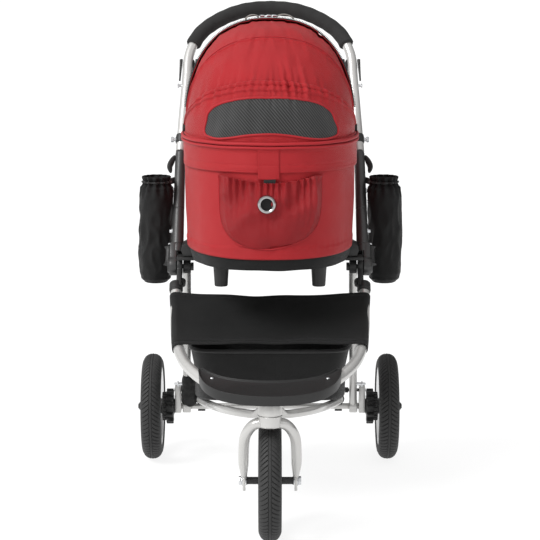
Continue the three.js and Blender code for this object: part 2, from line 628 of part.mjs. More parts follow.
addPiece("hood_panel_low", hoodPanel(-2.5, 29.5, 0, 2), redFabric);
addPiece("hood_panel_mid", hoodPanel(30, 59.5, 3.5, 1.5), redFabric);
addPiece("hood_panel_top", hoodPanel(60, 89.5, 6, 1.5), redFabric);
addPiece("hood_rear", hoodPanel(90, 182.5, 0, 2), redFabric);

// Hoops: flat bows, each in its own layer, with eyes on the hood's pivot pins.
const HOOP_INSETS = { 30: 14.5, 60: 11.5, 90: 8.5 };
const PIN_R = 3;
for (const angle of HOOP_ANGLES) {
  const shell = layer(HOOP_INSETS[angle], HOOP_INSETS[angle] + 2);
  const slab = new THREE.BoxGeometry(400, 400, 10).translate(0, 200, 0);
  const plane = toSolid(slab.rotateX(Math.PI - THREE.MathUtils.degToRad(angle)));
  const eyes = barX(-200, 200, 0, 0, 8.5, 20);
  const hoop = cut(shell.intersect(plane.add(eyes)), barX(-200, 200, 0, 0, PIN_R + GAP, 12));
  addPiece(`hood_hoop_${angle}`, hoop.translate([0, 0, HOOD_Z]), blackPlastic);
}
for (const [name, side] of SIDES) {
  const hinge = join(barX(149, 171, 0, HOOD_Z, PIN_R, 12), barX(169, 173, 0, HOOD_Z, 11.2, 20));
  addPiece(`hood_hinge_${name}`, mirrorIf(hinge, side), blackPlastic);
}

export default root;
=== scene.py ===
# %% [markdown]
# # A jogging stroller with a lift-off cot
# The real thing is a folding tube chassis on three tyred wheels, and a cloth-covered cot with a
# domed hood that clips on top of it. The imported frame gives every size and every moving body. This
# lesson puts the finished surfaces around that frame: lacquered tubes, treaded tyres, moulded
# plastic, and above all the cloth, which is sewn, gathered and pulled over hoops.

# %% The frame
import json
import math

import bmesh
import bpy
from mathutils import Matrix, Vector, noise


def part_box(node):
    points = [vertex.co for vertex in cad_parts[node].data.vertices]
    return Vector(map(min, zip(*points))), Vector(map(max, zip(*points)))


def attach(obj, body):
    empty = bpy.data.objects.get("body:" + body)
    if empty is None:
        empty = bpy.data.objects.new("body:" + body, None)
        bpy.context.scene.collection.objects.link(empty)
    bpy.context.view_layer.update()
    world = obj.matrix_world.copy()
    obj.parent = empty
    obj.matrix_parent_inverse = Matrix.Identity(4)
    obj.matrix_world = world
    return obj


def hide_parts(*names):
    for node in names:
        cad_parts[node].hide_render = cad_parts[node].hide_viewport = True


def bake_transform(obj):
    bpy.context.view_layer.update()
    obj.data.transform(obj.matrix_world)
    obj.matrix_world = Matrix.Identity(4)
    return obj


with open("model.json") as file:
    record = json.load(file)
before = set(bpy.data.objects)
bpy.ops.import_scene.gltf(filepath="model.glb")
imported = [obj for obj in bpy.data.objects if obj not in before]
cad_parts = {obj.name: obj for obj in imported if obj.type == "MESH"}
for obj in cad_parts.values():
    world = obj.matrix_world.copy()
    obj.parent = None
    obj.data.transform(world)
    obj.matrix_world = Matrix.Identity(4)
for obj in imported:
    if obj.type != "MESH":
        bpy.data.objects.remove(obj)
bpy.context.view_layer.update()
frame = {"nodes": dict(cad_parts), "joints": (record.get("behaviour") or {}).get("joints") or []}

NODES = frame["nodes"]
JOINTS = {joint["name"]: Vector(joint["pos_m"]) for joint in frame["joints"]
          if joint["type"] == "hinge"}

# %% [markdown]
# The points that everything hangs from are the frame's own joints. The stroller faces -Y, and it is
# the same on both sides, so most pieces are made by a function that takes the side as -1 or 1. The
# two names follow the frame's own nodes.

# %% Places that the frame gives
FOLD = JOINTS["handle_fold"]  # the folding joint, on the middle plane
FRONT_WHEEL = JOINTS["front_wheel_spin"]
REAR_WHEEL = JOINTS["rear_wheel_right_spin"]
STEERING = JOINTS["fork_swivel"]
HOOD = JOINTS["hood_mid_turn"]
PIVOT = Vector((0, *FOLD.yz))
REAR_AXLE = Vector((0, *REAR_WHEEL.yz))
SIDES = (("left", -1), ("right", 1))
HANDLE_SLOPE = math.radians(52)
FRONT_SLOPE = math.radians(222)


def along(slope, distance, x):
    """A point at a distance from the folding joint, on the line that leaves it at that slope."""
    reach = Vector((0, math.cos(slope), math.sin(slope))) * distance
    return FOLD + reach + Vector((x, 0, 0))


WALL_LOW, WALL_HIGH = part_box("cot_wall")
HALF_WIDTH = WALL_HIGH.x
HALF_LENGTH = (WALL_HIGH.y - WALL_LOW.y) / 2
print(f"cot {2 * HALF_WIDTH:.3f} by {2 * HALF_LENGTH:.3f} m, hood turns at z {HOOD.z:.3f}")

# %% [markdown]
# The camera stands four metres in front and a little above, with a long lens, so the stroller looks
# almost flat and its three wheels are all seen. The floor and the light are a plain white studio:
# a sky that is brightest at the upper left, one broad soft sun from there and a weaker one from
# the right. The sky's uneven brightness is what draws the shape of the shiny tubes.

# %% Camera, floor and light
scene = bpy.context.scene
scene.view_settings.view_transform = "Standard"

camera_data = bpy.data.cameras.new("camera")
camera_data.lens = 131.3
camera = bpy.data.objects.new("camera", camera_data)
camera.location = (0, -3.913, 1.130)
AIM = Vector((0, -0.007, 0.468))
camera.rotation_euler = (AIM - camera.location).to_track_quat("-Z", "Y").to_euler()
scene.collection.objects.link(camera)
scene.camera = camera

sky = bpy.data.worlds.new("studio")
sky.use_nodes = True
place = sky.node_tree.nodes.new("ShaderNodeTexCoord")
towards = sky.node_tree.nodes.new("ShaderNodeVectorMath")
towards.operation = "DOT_PRODUCT"
towards.inputs[1].default_value = (-0.62, -0.30, 0.72)
level = sky.node_tree.nodes.new("ShaderNodeMapRange")
for socket, value in (("From Min", -0.55), ("From Max", 1.0), ("To Min", 0.10), ("To Max", 0.92)):
    level.inputs[socket].default_value = value
background = sky.node_tree.nodes["Background"]
background.inputs["Color"].default_value = (1, 1, 1, 1)
sky.node_tree.links.new(place.outputs["Generated"], towards.inputs[0])
sky.node_tree.links.new(towards.outputs["Value"], level.inputs["Value"])
sky.node_tree.links.new(level.outputs["Result"], background.inputs["Strength"])
scene.world = sky


def sun(name, strength, softness, direction):
    """A soft directional light that shines along direction."""
    data = bpy.data.lights.new(name, "SUN")
    data.energy = strength
    data.angle = math.radians(softness)
    lamp = bpy.data.objects.new(name, data)
    lamp.rotation_euler = Vector(direction).to_track_quat("-Z", "Y").to_euler()
    scene.collection.objects.link(lamp)
    return lamp


sun("key_light", 2.7, 28, (0.80, 0.62, -1.0))
sun("fill_light", 0.35, 60, (-0.9, 0.6, -0.5))
print("camera, sky and two suns")

# %% [markdown]
# Shader maths reads best as Python. `Link` wraps one socket, and adding, subtracting or multiplying
# links writes the Math nodes. `Finish` is one material: `node` adds any node, and `drive` joins a
# link to the shader. Numbers that are the same all over go straight onto the shader's sockets.


# %% Shader helpers
class Link:
    """An output socket that writes Math nodes when it is used in an expression."""

    def __init__(self, finish, socket):
        self.finish, self.socket = finish, socket

    def math(self, operation, *values):
        inputs = dict(enumerate((self, *values)))
        return self.finish.node("Math", {"operation": operation}, inputs)

    def __add__(self, other):
        return self.math("ADD", other)

    def __mul__(self, other):
        return self.math("MULTIPLY", other)

    def __sub__(self, other):
        return self.math("SUBTRACT", other)

    def __rsub__(self, other):
        return self * -1 + other

    __radd__, __rmul__ = __add__, __mul__

    def wave(self, pitch):
        """A sine of this value, from -1 to 1, that repeats every pitch metres."""
        return (self * (2 * math.pi / pitch)).math("SINE")


class Finish:
    """One material, with the constant values of its shader given by name."""

    def __init__(self, name, **constants):
        self.material = bpy.data.materials.new(name)
        self.material.use_nodes = True
        self.tree = self.material.node_tree
        self.shader = self.tree.nodes["Principled BSDF"]
        for socket, value in constants.items():
            self.shader.inputs[socket.replace("_", " ")].default_value = value
        self.relief = None

    def node(self, kind, settings=None, inputs=None, output=0):
        made = self.tree.nodes.new("ShaderNode" + kind)
        for key, value in (settings or {}).items():
            setattr(made, key, value)
        for key, value in (inputs or {}).items():
            if isinstance(value, Link):
                self.tree.links.new(value.socket, made.inputs[key])
            else:
                made.inputs[key].default_value = value
        return Link(self, made.outputs[output])

    def place(self, cloth=False):
        """Object coordinates, or the piece's own cloth map in metres."""
        if cloth:
            return self.node("UVMap", {"uv_map": "cloth"})
        return self.node("TexCoord", output="Object")

    def noise(self, scale, detail=3, cloth=False):
        inputs = {"Vector": self.place(cloth), "Scale": scale, "Detail": detail}
        return self.node("TexNoise", None, inputs)

    def mix(self, share, first, second):
        inputs = {0: share, 6: first, 7: second}
        return self.node("Mix", {"data_type": "RGBA"}, inputs, output=2)

    def drive(self, socket, link):
        self.tree.links.new(link.socket, self.shader.inputs[socket])

    def bump(self, height, distance, strength=1.0):
        """Relief of that height in metres; a second call adds to the first."""
        inputs = {"Height": height, "Distance": distance, "Strength": strength}
        if self.relief:
            inputs["Normal"] = self.relief
        self.relief = self.node("Bump", None, inputs)
        self.drive("Normal", self.relief)


def rgb(red, green, blue):
    return (red, green, blue, 1.0)


def grey(value):
    return rgb(value, value, value)


print("shader helpers ready")

# %% [markdown]
# ## Finishes
# Tubes are silver lacquer over metal, so they keep a soft gloss with a faint orange-peel. Bare metal
# is zinc plate, satin aluminium and, on the pocket's eyelet, chrome. Each varies a little in
# roughness, as handled metal does.


# %% Metal finishes
def metal(name, color, metallic, roughness, spread=0.06, coat=0.0, grain=900, depth=0.00003):
    finish = Finish(name, Metallic=metallic, Coat_Weight=coat, Coat_Roughness=0.15)
    cloud = finish.noise(9, 4)
    shade = [grey(c) if isinstance(c, float) else c for c in color]
    finish.drive("Base Color", finish.mix(cloud, shade[0], shade[1]))
    finish.drive("Roughness", finish.noise(40) * (2 * spread) + (roughness - spread))
    finish.bump(finish.noise(grain, 2), depth)
    return finish.material


silver = metal("silver_lacquer", (rgb(0.62, 0.615, 0.60), rgb(0.54, 0.535, 0.52)), 0.55, 0.30,
               coat=0.3, grain=420, depth=0.00006)
aluminium = metal("satin_aluminium", (0.80, 0.68), 0.9, 0.30, grain=1500)
zinc = metal("zinc_plate", (rgb(0.76, 0.77, 0.78), rgb(0.6, 0.61, 0.63)), 1.0, 0.24)
chrome = metal("bright_chrome", (0.46, 0.38), 1.0, 0.10, spread=0.03, depth=0.00001)
print("metals:", silver.name, aluminium.name, zinc.name, chrome.name)

# %% [markdown]
# Plastics, foam and rubber are all black but never the same black. Moulded plastic has a fine spark
# texture, the sleeves a smoother satin paint, the grip foam open pores, and the tyres a dusty,
# mottled bloom.


# %% Plastic, foam and rubber finishes
def moulding(name, dark, light, roughness, texture, depth, specular=0.4, coat=0.0):
    finish = Finish(name, Specular_IOR_Level=specular, Coat_Weight=coat, Coat_Roughness=0.3)
    finish.drive("Base Color", finish.mix(finish.noise(14, 5), grey(dark), grey(light)))
    finish.drive("Roughness", finish.noise(60) * 0.16 + (roughness - 0.08))
    finish.bump(finish.noise(texture, 4), depth)
    return finish.material


plastic = moulding("textured_plastic", 0.014, 0.022, 0.46, 1500, 0.00012)
satin_black = moulding("satin_black_paint", 0.030, 0.040, 0.36, 700, 0.00004, 0.5, coat=0.2)
rubber = moulding("tyre_rubber", 0.020, 0.040, 0.68, 1100, 0.00018, 0.35)


def foam_finish():
    finish = Finish("grip_foam", Specular_IOR_Level=0.25)
    cells = {"Vector": finish.place(), "Scale": 900}
    pores = finish.node("TexVoronoi", None, cells)
    finish.drive("Base Color", finish.mix(finish.noise(30, 4), grey(0.018), grey(0.034)))
    finish.drive("Roughness", finish.noise(200) * 0.1 + 0.85)
    finish.bump(pores, 0.0003)
    finish.bump(finish.noise(260, 3), 0.0003)
    return finish.material


foam = foam_finish()
print("blacks:", plastic.name, satin_black.name, rubber.name, foam.name)

# %% [markdown]
# The cloth is a close plain weave. Two sines of the cloth map, multiplied, give the over-and-under
# of the threads, a slower noise gives the slubs, and the sheen gives the pale bloom at the edges of
# a fold. The map is in metres, so the thread is the same size on every piece. The pocket is a glossier
# satin of the same red, painted darker as the shade of the cot's lower front.


# %% Cloth finishes
def weave(name, deep, bright, roughness, thread=0.0009, relief=0.00012, sheen=0.25, tint=None):
    finish = Finish(name, Sheen_Weight=sheen, Sheen_Roughness=0.45, Specular_IOR_Level=0.22)
    if tint:
        finish.shader.inputs["Sheen Tint"].default_value = tint
    split = finish.node("SeparateXYZ", None, {0: finish.place(cloth=True)})
    down = Link(finish, split.socket.node.outputs["Y"])
    threads = split.wave(thread) * down.wave(thread)
    slub = finish.noise(320, 2, cloth=True)
    wear = finish.noise(7, 4, cloth=True)
    shade = wear * 0.7 + slub * 0.2 + threads * 0.12
    finish.drive("Base Color", finish.mix(shade, deep, bright))
    finish.drive("Roughness", finish.noise(55, cloth=True) * 0.12 + (roughness - 0.06))
    finish.bump(threads + slub * 0.8, relief)
    return finish.material


red_cloth = weave("red_cloth", rgb(0.30, 0.009, 0.013), rgb(0.45, 0.019, 0.024), 0.46,
                  sheen=0.08, tint=rgb(1.0, 0.45, 0.4))
red_trim = weave("red_trim", rgb(0.30, 0.010, 0.015), rgb(0.42, 0.022, 0.028), 0.6, thread=0.0014,
                 sheen=0.08)
# Painted shade: the pocket's red is darker than the wall's red for the shade of the lower front. Its
# lower roughness is the satin's own gloss.
red_satin_painted_shade = weave("red_satin_painted_shade", rgb(0.20, 0.005, 0.008), rgb(0.33, 0.012, 0.016), 0.34,
                  sheen=0.05, tint=rgb(1.0, 0.45, 0.4))
black_cloth = weave("black_cloth", grey(0.003), grey(0.009), 0.56, sheen=0.05)
black_webbing = weave("black_webbing", grey(0.010), grey(0.026), 0.7, thread=0.0022, relief=0.0003)
grey_webbing = weave("grey_webbing", rgb(0.13, 0.12, 0.11), rgb(0.30, 0.28, 0.26), 0.75,
                     thread=0.002, relief=0.0003)
print("cloth:", ", ".join(m.name for m in (red_cloth, red_trim, red_satin_painted_shade, black_cloth,
                                           black_webbing, grey_webbing)))

# %% [markdown]
# ## Shaping helpers
# Everything is shaped by the same few moves. `tube` extrudes a ring along a smooth path, `lathe`
# spins a profile, `plate` extrudes an outline, and `cloth` bends a grid and gives it a map in metres.


# %% Paths
def smooth_path(points, steps=8):
    """A centripetal Catmull-Rom line through the points, with that many steps between each two."""
    points = [Vector(p) for p in points]
    line = [2 * points[0] - points[1], *points, 2 * points[-1] - points[-2]]
    path = []
    for before, start, end, after in zip(line, line[1:], line[2:], line[3:]):
        t0 = 0.0
        t1 = t0 + (start - before).length ** 0.5
        t2 = t1 + (end - start).length ** 0.5
        t3 = t2 + (after - end).length ** 0.5
        for i in range(steps):
            t = t1 + (t2 - t1) * i / steps
            a = before.lerp(start, (t - t0) / (t1 - t0))
            b = start.lerp(end, (t - t1) / (t2 - t1))
            c = end.lerp(after, (t - t2) / (t3 - t2))
            path.append(a.lerp(b, (t - t0) / (t2 - t0)).lerp(b.lerp(c, (t - t1) / (t3 - t1)),
                                                            (t - t1) / (t2 - t1)))
    return [*path, points[-1]]


def lengths(path):
    """How far along the path each of its points is, as a share of the whole."""
    total = [0.0]
    for a, b in zip(path, path[1:]):
        total.append(total[-1] + (b - a).length)
    return [t / total[-1] for t in total]


def stretch(path, start, end, steps=40):
    """The part of a path between two shares of its length."""
    shares = lengths(path)
    made = []
    for i in range(steps + 1):
        want = start + (end - start) * i / steps
        k = max(1, next((j for j, s in enumerate(shares) if s >= want), len(shares) - 1))
        made.append(path[k - 1].lerp(path[k], (want - shares[k - 1]) / (shares[k] - shares[k - 1])))
    return made


def new_verts(geometry):
    return [g for g in geometry if isinstance(g, bmesh.types.BMVert)]


def tube(path, radius, sides=20, flat=1.0, up=None):
    """A closed bar along a path. radius may be a function of the share of its length, and flat
    squeezes the section across the direction up."""
    shares = lengths(path)
    size = radius if callable(radius) else lambda share: radius
    bm = bmesh.new()
    heading, turn = Vector((0, 0, 1)), Matrix.Identity(3)
    old, ring = None, None
    for i, (point, share) in enumerate(zip(path, shares)):
        ahead = (path[min(i + 1, len(path) - 1)] - path[max(i - 1, 0)]).normalized()
        turn = heading.rotation_difference(ahead).to_matrix() @ turn
        heading = ahead
        if up is not None:
            side = ahead.cross(up).normalized()
            turn = Matrix((side, side.cross(ahead) * -1, ahead)).transposed()
        scale = Matrix.Diagonal((size(share), size(share) * flat, 1, 1))
        place = Matrix.Translation(point) @ turn.to_4x4() @ scale
        if old is None:
            ring = bmesh.ops.create_circle(bm, cap_ends=True, radius=1, segments=sides)["verts"]
            bmesh.ops.transform(bm, matrix=place, verts=ring)
            edges = list({e for v in ring for e in v.link_edges})
        else:
            grown = bmesh.ops.extrude_edge_only(bm, edges=edges)["geom"]
            bmesh.ops.transform(bm, matrix=place @ old.inverted(), verts=new_verts(grown))
            edges = [g for g in grown if isinstance(g, bmesh.types.BMEdge)]
        old = place
    bmesh.ops.contextual_create(bm, geom=edges)
    bmesh.ops.recalc_face_normals(bm, faces=bm.faces)
    return bm


print("paths and tubes ready")


# %% Turned and flat shapes
def lathe(profile, centre=(0, 0, 0), axis=(1, 0, 0), steps=48, ring=False):
    """A profile of (distance along the axis, radius) spun round it; ring joins its two ends."""
    bm = bmesh.new()
    axis = Vector(axis).normalized()
    side = axis.orthogonal().normalized()
    verts = [bm.verts.new(Vector(centre) + axis * a + side * r) for a, r in profile]
    pairs = list(zip(verts, verts[1:])) + ([(verts[-1], verts[0])] if ring else [])
    edges = [bm.edges.new(pair) for pair in pairs]
    bmesh.ops.spin(bm, geom=verts + edges, cent=centre, axis=axis, angle=2 * math.pi,
                   steps=steps, use_merge=True)
    bmesh.ops.remove_doubles(bm, verts=bm.verts, dist=1e-6)
    bmesh.ops.recalc_face_normals(bm, faces=bm.faces)
    return bm


def turned(side, profile, centre, steps=32, ring=False):
    """A lathe about X. The profile is the right side's, and side -1 mirrors it for the left."""
    return lathe([(side * a, r) for a, r in profile], centre, steps=steps, ring=ring)


def mirrored(half):
    """A whole section from the half that starts on the middle plane."""
    return [(-x, r) for x, r in reversed(half[1:])] + half


def bevel(bm, width, edges=None, segments=2, angle=30):
    """Rounds the given edges, or every edge sharper than that angle."""
    if edges is None:
        limit = math.radians(angle)
        edges = [e for e in bm.edges if len(e.link_faces) == 2 and e.calc_face_angle(0) > limit]
    bmesh.ops.bevel(bm, geom=edges, offset=width, offset_type="OFFSET", segments=segments,
                    profile=0.5, affect="EDGES", material=-1, clamp_overlap=True)
    return bm


def plate(outline, thickness, place=Matrix.Identity(4), round_by=0.0, segments=2):
    """An outline of (x, y) points extruded by thickness along z, rounded and then put in place."""
    bm = bmesh.new()
    face = bm.faces.new([bm.verts.new((x, y, 0)) for x, y in outline])
    grown = bmesh.ops.extrude_face_region(bm, geom=[face])["geom"]
    bmesh.ops.translate(bm, vec=(0, 0, thickness), verts=new_verts(grown))
    bmesh.ops.recalc_face_normals(bm, faces=bm.faces)
    if round_by:
        bevel(bm, round_by, segments=segments)
    bmesh.ops.transform(bm, matrix=place, verts=bm.verts)
    bmesh.ops.recalc_face_normals(bm, faces=bm.faces)
    return bm


# A plate's own x, y and z laid along Y, Z and X, for outlines that are seen from the side.
SIDEWAYS = Matrix(((0, 0, 1, 0), (1, 0, 0, 0), (0, 1, 0, 0), (0, 0, 0, 1)))
ACROSS = Vector((1, 0, 0))


def beside(side, centre, start):
    """Puts a plate sideways at that distance from the middle plane, mirrored for side -1."""
    return (Matrix.Translation(centre) @ Matrix.Diagonal((side, 1, 1, 1))
            @ Matrix.Translation((start, 0, 0)) @ SIDEWAYS)


def block(size, centre, round_by=0.001, turn=Matrix.Identity(4)):
    """A box with rounded edges."""
    bm = bmesh.new()
    bmesh.ops.create_cube(bm, size=1, matrix=Matrix.Diagonal((*size, 1)))
    bevel(bm, round_by)
    bmesh.ops.transform(bm, matrix=Matrix.Translation(centre) @ turn, verts=bm.verts)
    return bm


def cloth(columns, rows, place, size, inside, merge=True):
    """A grid bent into place(s, t), with s and t from 0 to 1. Its map is size metres across, and
    its faces point away from the point inside."""
    bm = bmesh.new()
    layer = bm.loops.layers.uv.new("cloth")
    bmesh.ops.create_grid(bm, x_segments=columns, y_segments=rows, size=0.5)
    for face in bm.faces:
        for loop in face.loops:
            x, y, _ = loop.vert.co
            loop[layer].uv = ((x + 0.5) * size[0], (y + 0.5) * size[1])
    for vert in bm.verts:
        vert.co = place(min(max(vert.co.x + 0.5, 0), 1), min(max(vert.co.y + 0.5, 0), 1))
    if merge:
        bmesh.ops.remove_doubles(bm, verts=bm.verts, dist=1e-6)
    facing = sum((f.calc_center_median() - Vector(inside)).dot(f.normal) * f.calc_area()
                 for f in bm.faces)
    if facing < 0:
        bmesh.ops.reverse_faces(bm, faces=bm.faces)
    return bm


def joined(*parts):
    """Several shapes as one mesh, each keeping its own map."""
    whole = bmesh.new()
    for part in parts:
        mesh = bpy.data.meshes.new("part")
        part.to_mesh(mesh)
        part.free()
        whole.from_mesh(mesh)
        bpy.data.meshes.remove(mesh)
    return whole


print("turned, flat and cloth shapes ready")


# %% Making a shape into a piece
def piece(name, shape, finish, body, replaces=(), crease=35, thick=0.0, levels=0,
          round_by=0.0):
    """A finished object that rides on a body. Solidify, Bevel and Subdivision may finish it."""
    mesh = bpy.data.meshes.new(name)
    shape.normal_update()
    shape.to_mesh(mesh)
    shape.free()
    mesh.shade_smooth()
    if crease:
        mesh.set_sharp_from_angle(angle=math.radians(crease))
    mesh.materials.append(finish)
    made = bpy.data.objects.new(name, mesh)
    scene.collection.objects.link(made)
    if thick:
        wall = made.modifiers.new("thickness", "SOLIDIFY")
        wall.thickness, wall.offset = thick, -1
    if round_by:
        edge = made.modifiers.new("edges", "BEVEL")
        edge.width, edge.segments, edge.limit_method = round_by, 2, "ANGLE"
        edge.angle_limit = math.radians(35)
    if levels:
        smooth = made.modifiers.new("smooth", "SUBSURF")
        smooth.levels = smooth.render_levels = levels
    if body:
        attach(made, body)
    if replaces:
        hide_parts(*replaces)
    return made


def count(*objects):
    faces = sum(len(o.data.polygons) for o in objects)
    print(", ".join(o.name for o in objects), f"({faces} faces)")


def floor():
    bm = bmesh.new()
    bmesh.ops.create_grid(bm, x_segments=4, y_segments=4, size=60)
    mesh = bpy.data.meshes.new("floor")
    bm.to_mesh(mesh)
    bm.free()
    finish = Finish("white_floor", Specular_IOR_Level=0.1, Emission_Strength=0.86)
    finish.shader.inputs["Emission Color"].default_value = grey(1.0)
    finish.drive("Base Color", finish.mix(finish.noise(1.5), grey(0.20), grey(0.19)))
    finish.drive("Roughness", finish.noise(3) * 0.1 + 0.85)
    mesh.materials.append(finish.material)
    ground = bpy.data.objects.new("floor", mesh)
    scene.collection.objects.link(ground)


floor()
print("floor ready")

# %% [markdown]
# ## Wheels
# Each wheel is a pneumatic tyre on a cast rim. The tread is a herringbone on both sides of a centre
# rib. It is made by spinning a smooth section, sliding its columns of points round the wheel by how
# far out they lie, which slants them, and sinking every fourth one, so the grooves are real.

# %% Tyres
TYRE_RADIUS = FRONT_WHEEL.z
TYRE_HALF_SECTION = [
    (0.0, 0.0), (0.0015, 0.0), (0.0019, -0.0014), (0.0031, -0.0015), (0.0036, -0.0003),
    (0.0070, -0.0009), (0.0110, -0.0026), (0.0145, -0.0050), (0.0172, -0.0080),
    (0.0192, -0.0115), (0.0210, -0.0152), (0.0219, -0.0190), (0.0214, -0.0225),
    (0.0205, -0.0232), (0.0200, -0.0262), (0.0180, -0.0290), (0.0165, -0.0310),
    (0.0130, -0.0330),
]
TREAD_BLOCKS = 72
COLUMNS_PER_BLOCK = 4
TREAD_INNER, TREAD_OUTER = 0.0034, 0.0188
GROOVE_DEPTH = 0.0022
GROOVE_NARROWING = 0.35  # of a column, on each side of a sunk one
SLANT_COLUMNS = 5.0
TREAD_REACH = 0.026  # how far in from the tread the sections are still turned

# Each wheel's axle, the end of its names, and its middle.
WHEELS = [("front", "", FRONT_WHEEL),
          *(("rear", f"_{name}", Vector((side * abs(REAR_WHEEL.x), *REAR_WHEEL.yz)))
            for name, side in SIDES)]


def tyre(centre):
    half = [(x, TYRE_RADIUS + drop) for x, drop in TYRE_HALF_SECTION]
    steps = TREAD_BLOCKS * COLUMNS_PER_BLOCK
    bm = lathe(mirrored(half), centre, steps=steps, ring=True)
    column = 2 * math.pi / steps
    for vert in bm.verts:
        out = vert.co - Vector(centre)
        radius = math.hypot(out.y, out.z)
        angle = math.atan2(out.z, out.y)
        share = (abs(out.x) - TREAD_INNER) / (TREAD_OUTER - TREAD_INNER)
        if radius < TYRE_RADIUS - TREAD_REACH:
            continue
        number = round(angle / column) % COLUMNS_PER_BLOCK
        narrow = {1: -GROOVE_NARROWING, 3: GROOVE_NARROWING}.get(number, 0)
        angle += column * (narrow + SLANT_COLUMNS * min(max(share, 0), 1.1))
        if number == 0 and 0 <= share <= 1.001:
            radius -= GROOVE_DEPTH
        vert.co = Vector(centre) + Vector((out.x, radius * math.cos(angle),
                                           radius * math.sin(angle)))
    bmesh.ops.recalc_face_normals(bm, faces=bm.faces)
    return bm


count(*(piece(f"{axle}_tyre_tread{end}", tyre(hub), rubber, f"{axle}_wheel{end}",
              [f"{axle}_tyre{end}"], crease=28) for axle, end, hub in WHEELS))

# %% [markdown]
# The rim is a spun channel with a rolled lip that shows past the tyre, six spokes that swell where
# they meet the rim and the hub, and a valve that comes through beside one of them.

# %% Rims
RIM_HALF_SECTION = [
    (0.0, 0.0795), (0.0100, 0.0795), (0.0135, 0.0830), (0.0158, 0.0868), (0.0182, 0.0872),
    (0.0188, 0.0856), (0.0170, 0.0812), (0.0142, 0.0776), (0.0115, 0.0733), (0.0060, 0.0706),
    (0.0, 0.0703),
]
HUB_HALF_SECTION = [(0.0, 0.0158), (0.0060, 0.0162), (0.0120, 0.0182), (0.0165, 0.0184),
                    (0.0198, 0.0160), (0.0204, 0.0140), (0.0204, 0.0070)]
SPOKES = 6
SPOKE_START, SPOKE_LENGTH = 0.012, 0.0625
VALVE_ANGLE = 0.9


def rim(centre):
    parts = [lathe(mirrored(RIM_HALF_SECTION), centre, steps=96),
             lathe(mirrored(HUB_HALF_SECTION), centre, steps=40, ring=True)]
    for i in range(SPOKES):
        turn = math.radians(30 + 360 * i / SPOKES)
        out = Vector((0, math.cos(turn), math.sin(turn)))
        path = [centre + out * (SPOKE_START + SPOKE_LENGTH * k / 10) for k in range(11)]
        parts.append(tube(path, lambda s: 0.0078 + 0.0045 * (2 * s - 1) ** 4 - 0.002 * s, 16,
                          flat=0.62, up=ACROSS))
    return joined(*parts)


def valve(centre):
    out = Vector((0, math.cos(VALVE_ANGLE), math.sin(VALVE_ANGLE)))
    profile = [(0.048, 0.0), (0.048, 0.0030), (0.057, 0.0033), (0.0575, 0.0024), (0.068, 0.0026),
               (0.071, 0.0042), (0.072, 0.0)]
    return lathe(profile, centre, out, 16)


for axle, end, hub in WHEELS:
    body = f"{axle}_wheel{end}"
    count(piece(f"cast_rim_{axle}{end}", rim(hub), aluminium, body, [f"{axle}_rim{end}"],
                crease=40),
          piece(f"valve_{axle}{end}", valve(hub), plastic, body))

# %% [markdown]
# Beside each rear wheel is the notched ring that the parking brake drops into, and behind it a
# ribbed drum. The ring is an extruded outline, one tooth repeated twelve times, and turned so that
# a notch faces the brake's pin.

# %% Brake rings and drums
RING_INNER_X, RING_OUTER_X = 0.211, 0.226
RING_TEETH = 12
RING_ROOT, RING_TIP = 0.029, 0.0385
DRUM_RADIUS, DRUM_WIDTH = 0.0315, 0.0098
DRUM_RIBS, DRUM_RIB_DEPTH = 20, 0.003
pin_low, pin_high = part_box("brake_pin_left")
PIN = (pin_low + pin_high) / 2 - REAR_WHEEL
PIN_ANGLE = math.atan2(PIN.z, PIN.y)


def toothed(teeth, root, tip, depth, place):
    """A notched ring, turned so that a notch faces the brake pin."""
    flanks = (0.28, root), (0.33, tip), (0.67, tip), (0.72, root)
    outline = []
    for i in range(teeth):
        for share, radius in flanks:
            angle = PIN_ANGLE + 2 * math.pi * (i + share) / teeth
            outline.append((radius * math.cos(angle), radius * math.sin(angle)))
    return plate(outline, depth, place, 0.0011)


for name, side in SIDES:
    ring = toothed(RING_TEETH, RING_ROOT, RING_TIP, RING_OUTER_X - RING_INNER_X,
                   beside(side, REAR_AXLE, RING_INNER_X))
    drum = toothed(DRUM_RIBS, DRUM_RADIUS - DRUM_RIB_DEPTH, DRUM_RADIUS, DRUM_WIDTH,
                   beside(side, REAR_AXLE, RING_OUTER_X - 0.0004))
    boss = turned(side, [(0.2085, 0.0068), (0.2085, 0.0155), (0.2100, 0.0170), (0.2115, 0.0170),
                         (0.2115, 0.0068)], REAR_AXLE, ring=True)
    count(piece(f"toothed_ring_{name}", joined(ring, drum, boss), plastic, f"rear_wheel_{name}",
                [f"brake_ring_{name}"]))

# %% [markdown]
# ## Fork
# The two fork legs leave the crown like a wishbone, run straight down beside the tyre and narrow to
# flat dropouts. A swept bar with a radius that changes along it does all of that in one shape.

# %% Fork legs, crown and dropouts
CROWN_LOW, CROWN_TOP, CROWN_RADIUS = 0.236, 0.2585, 0.023
DROPOUT_X = 0.0490
WISHBONE = [(0.006, 0.0, 0.244), (0.029, 0.004, 0.239), (0.045, 0.015, 0.216),
            (0.0495, 0.033, 0.176), (0.0495, 0.051, 0.138), (0.0490, 0.060, 0.124)]


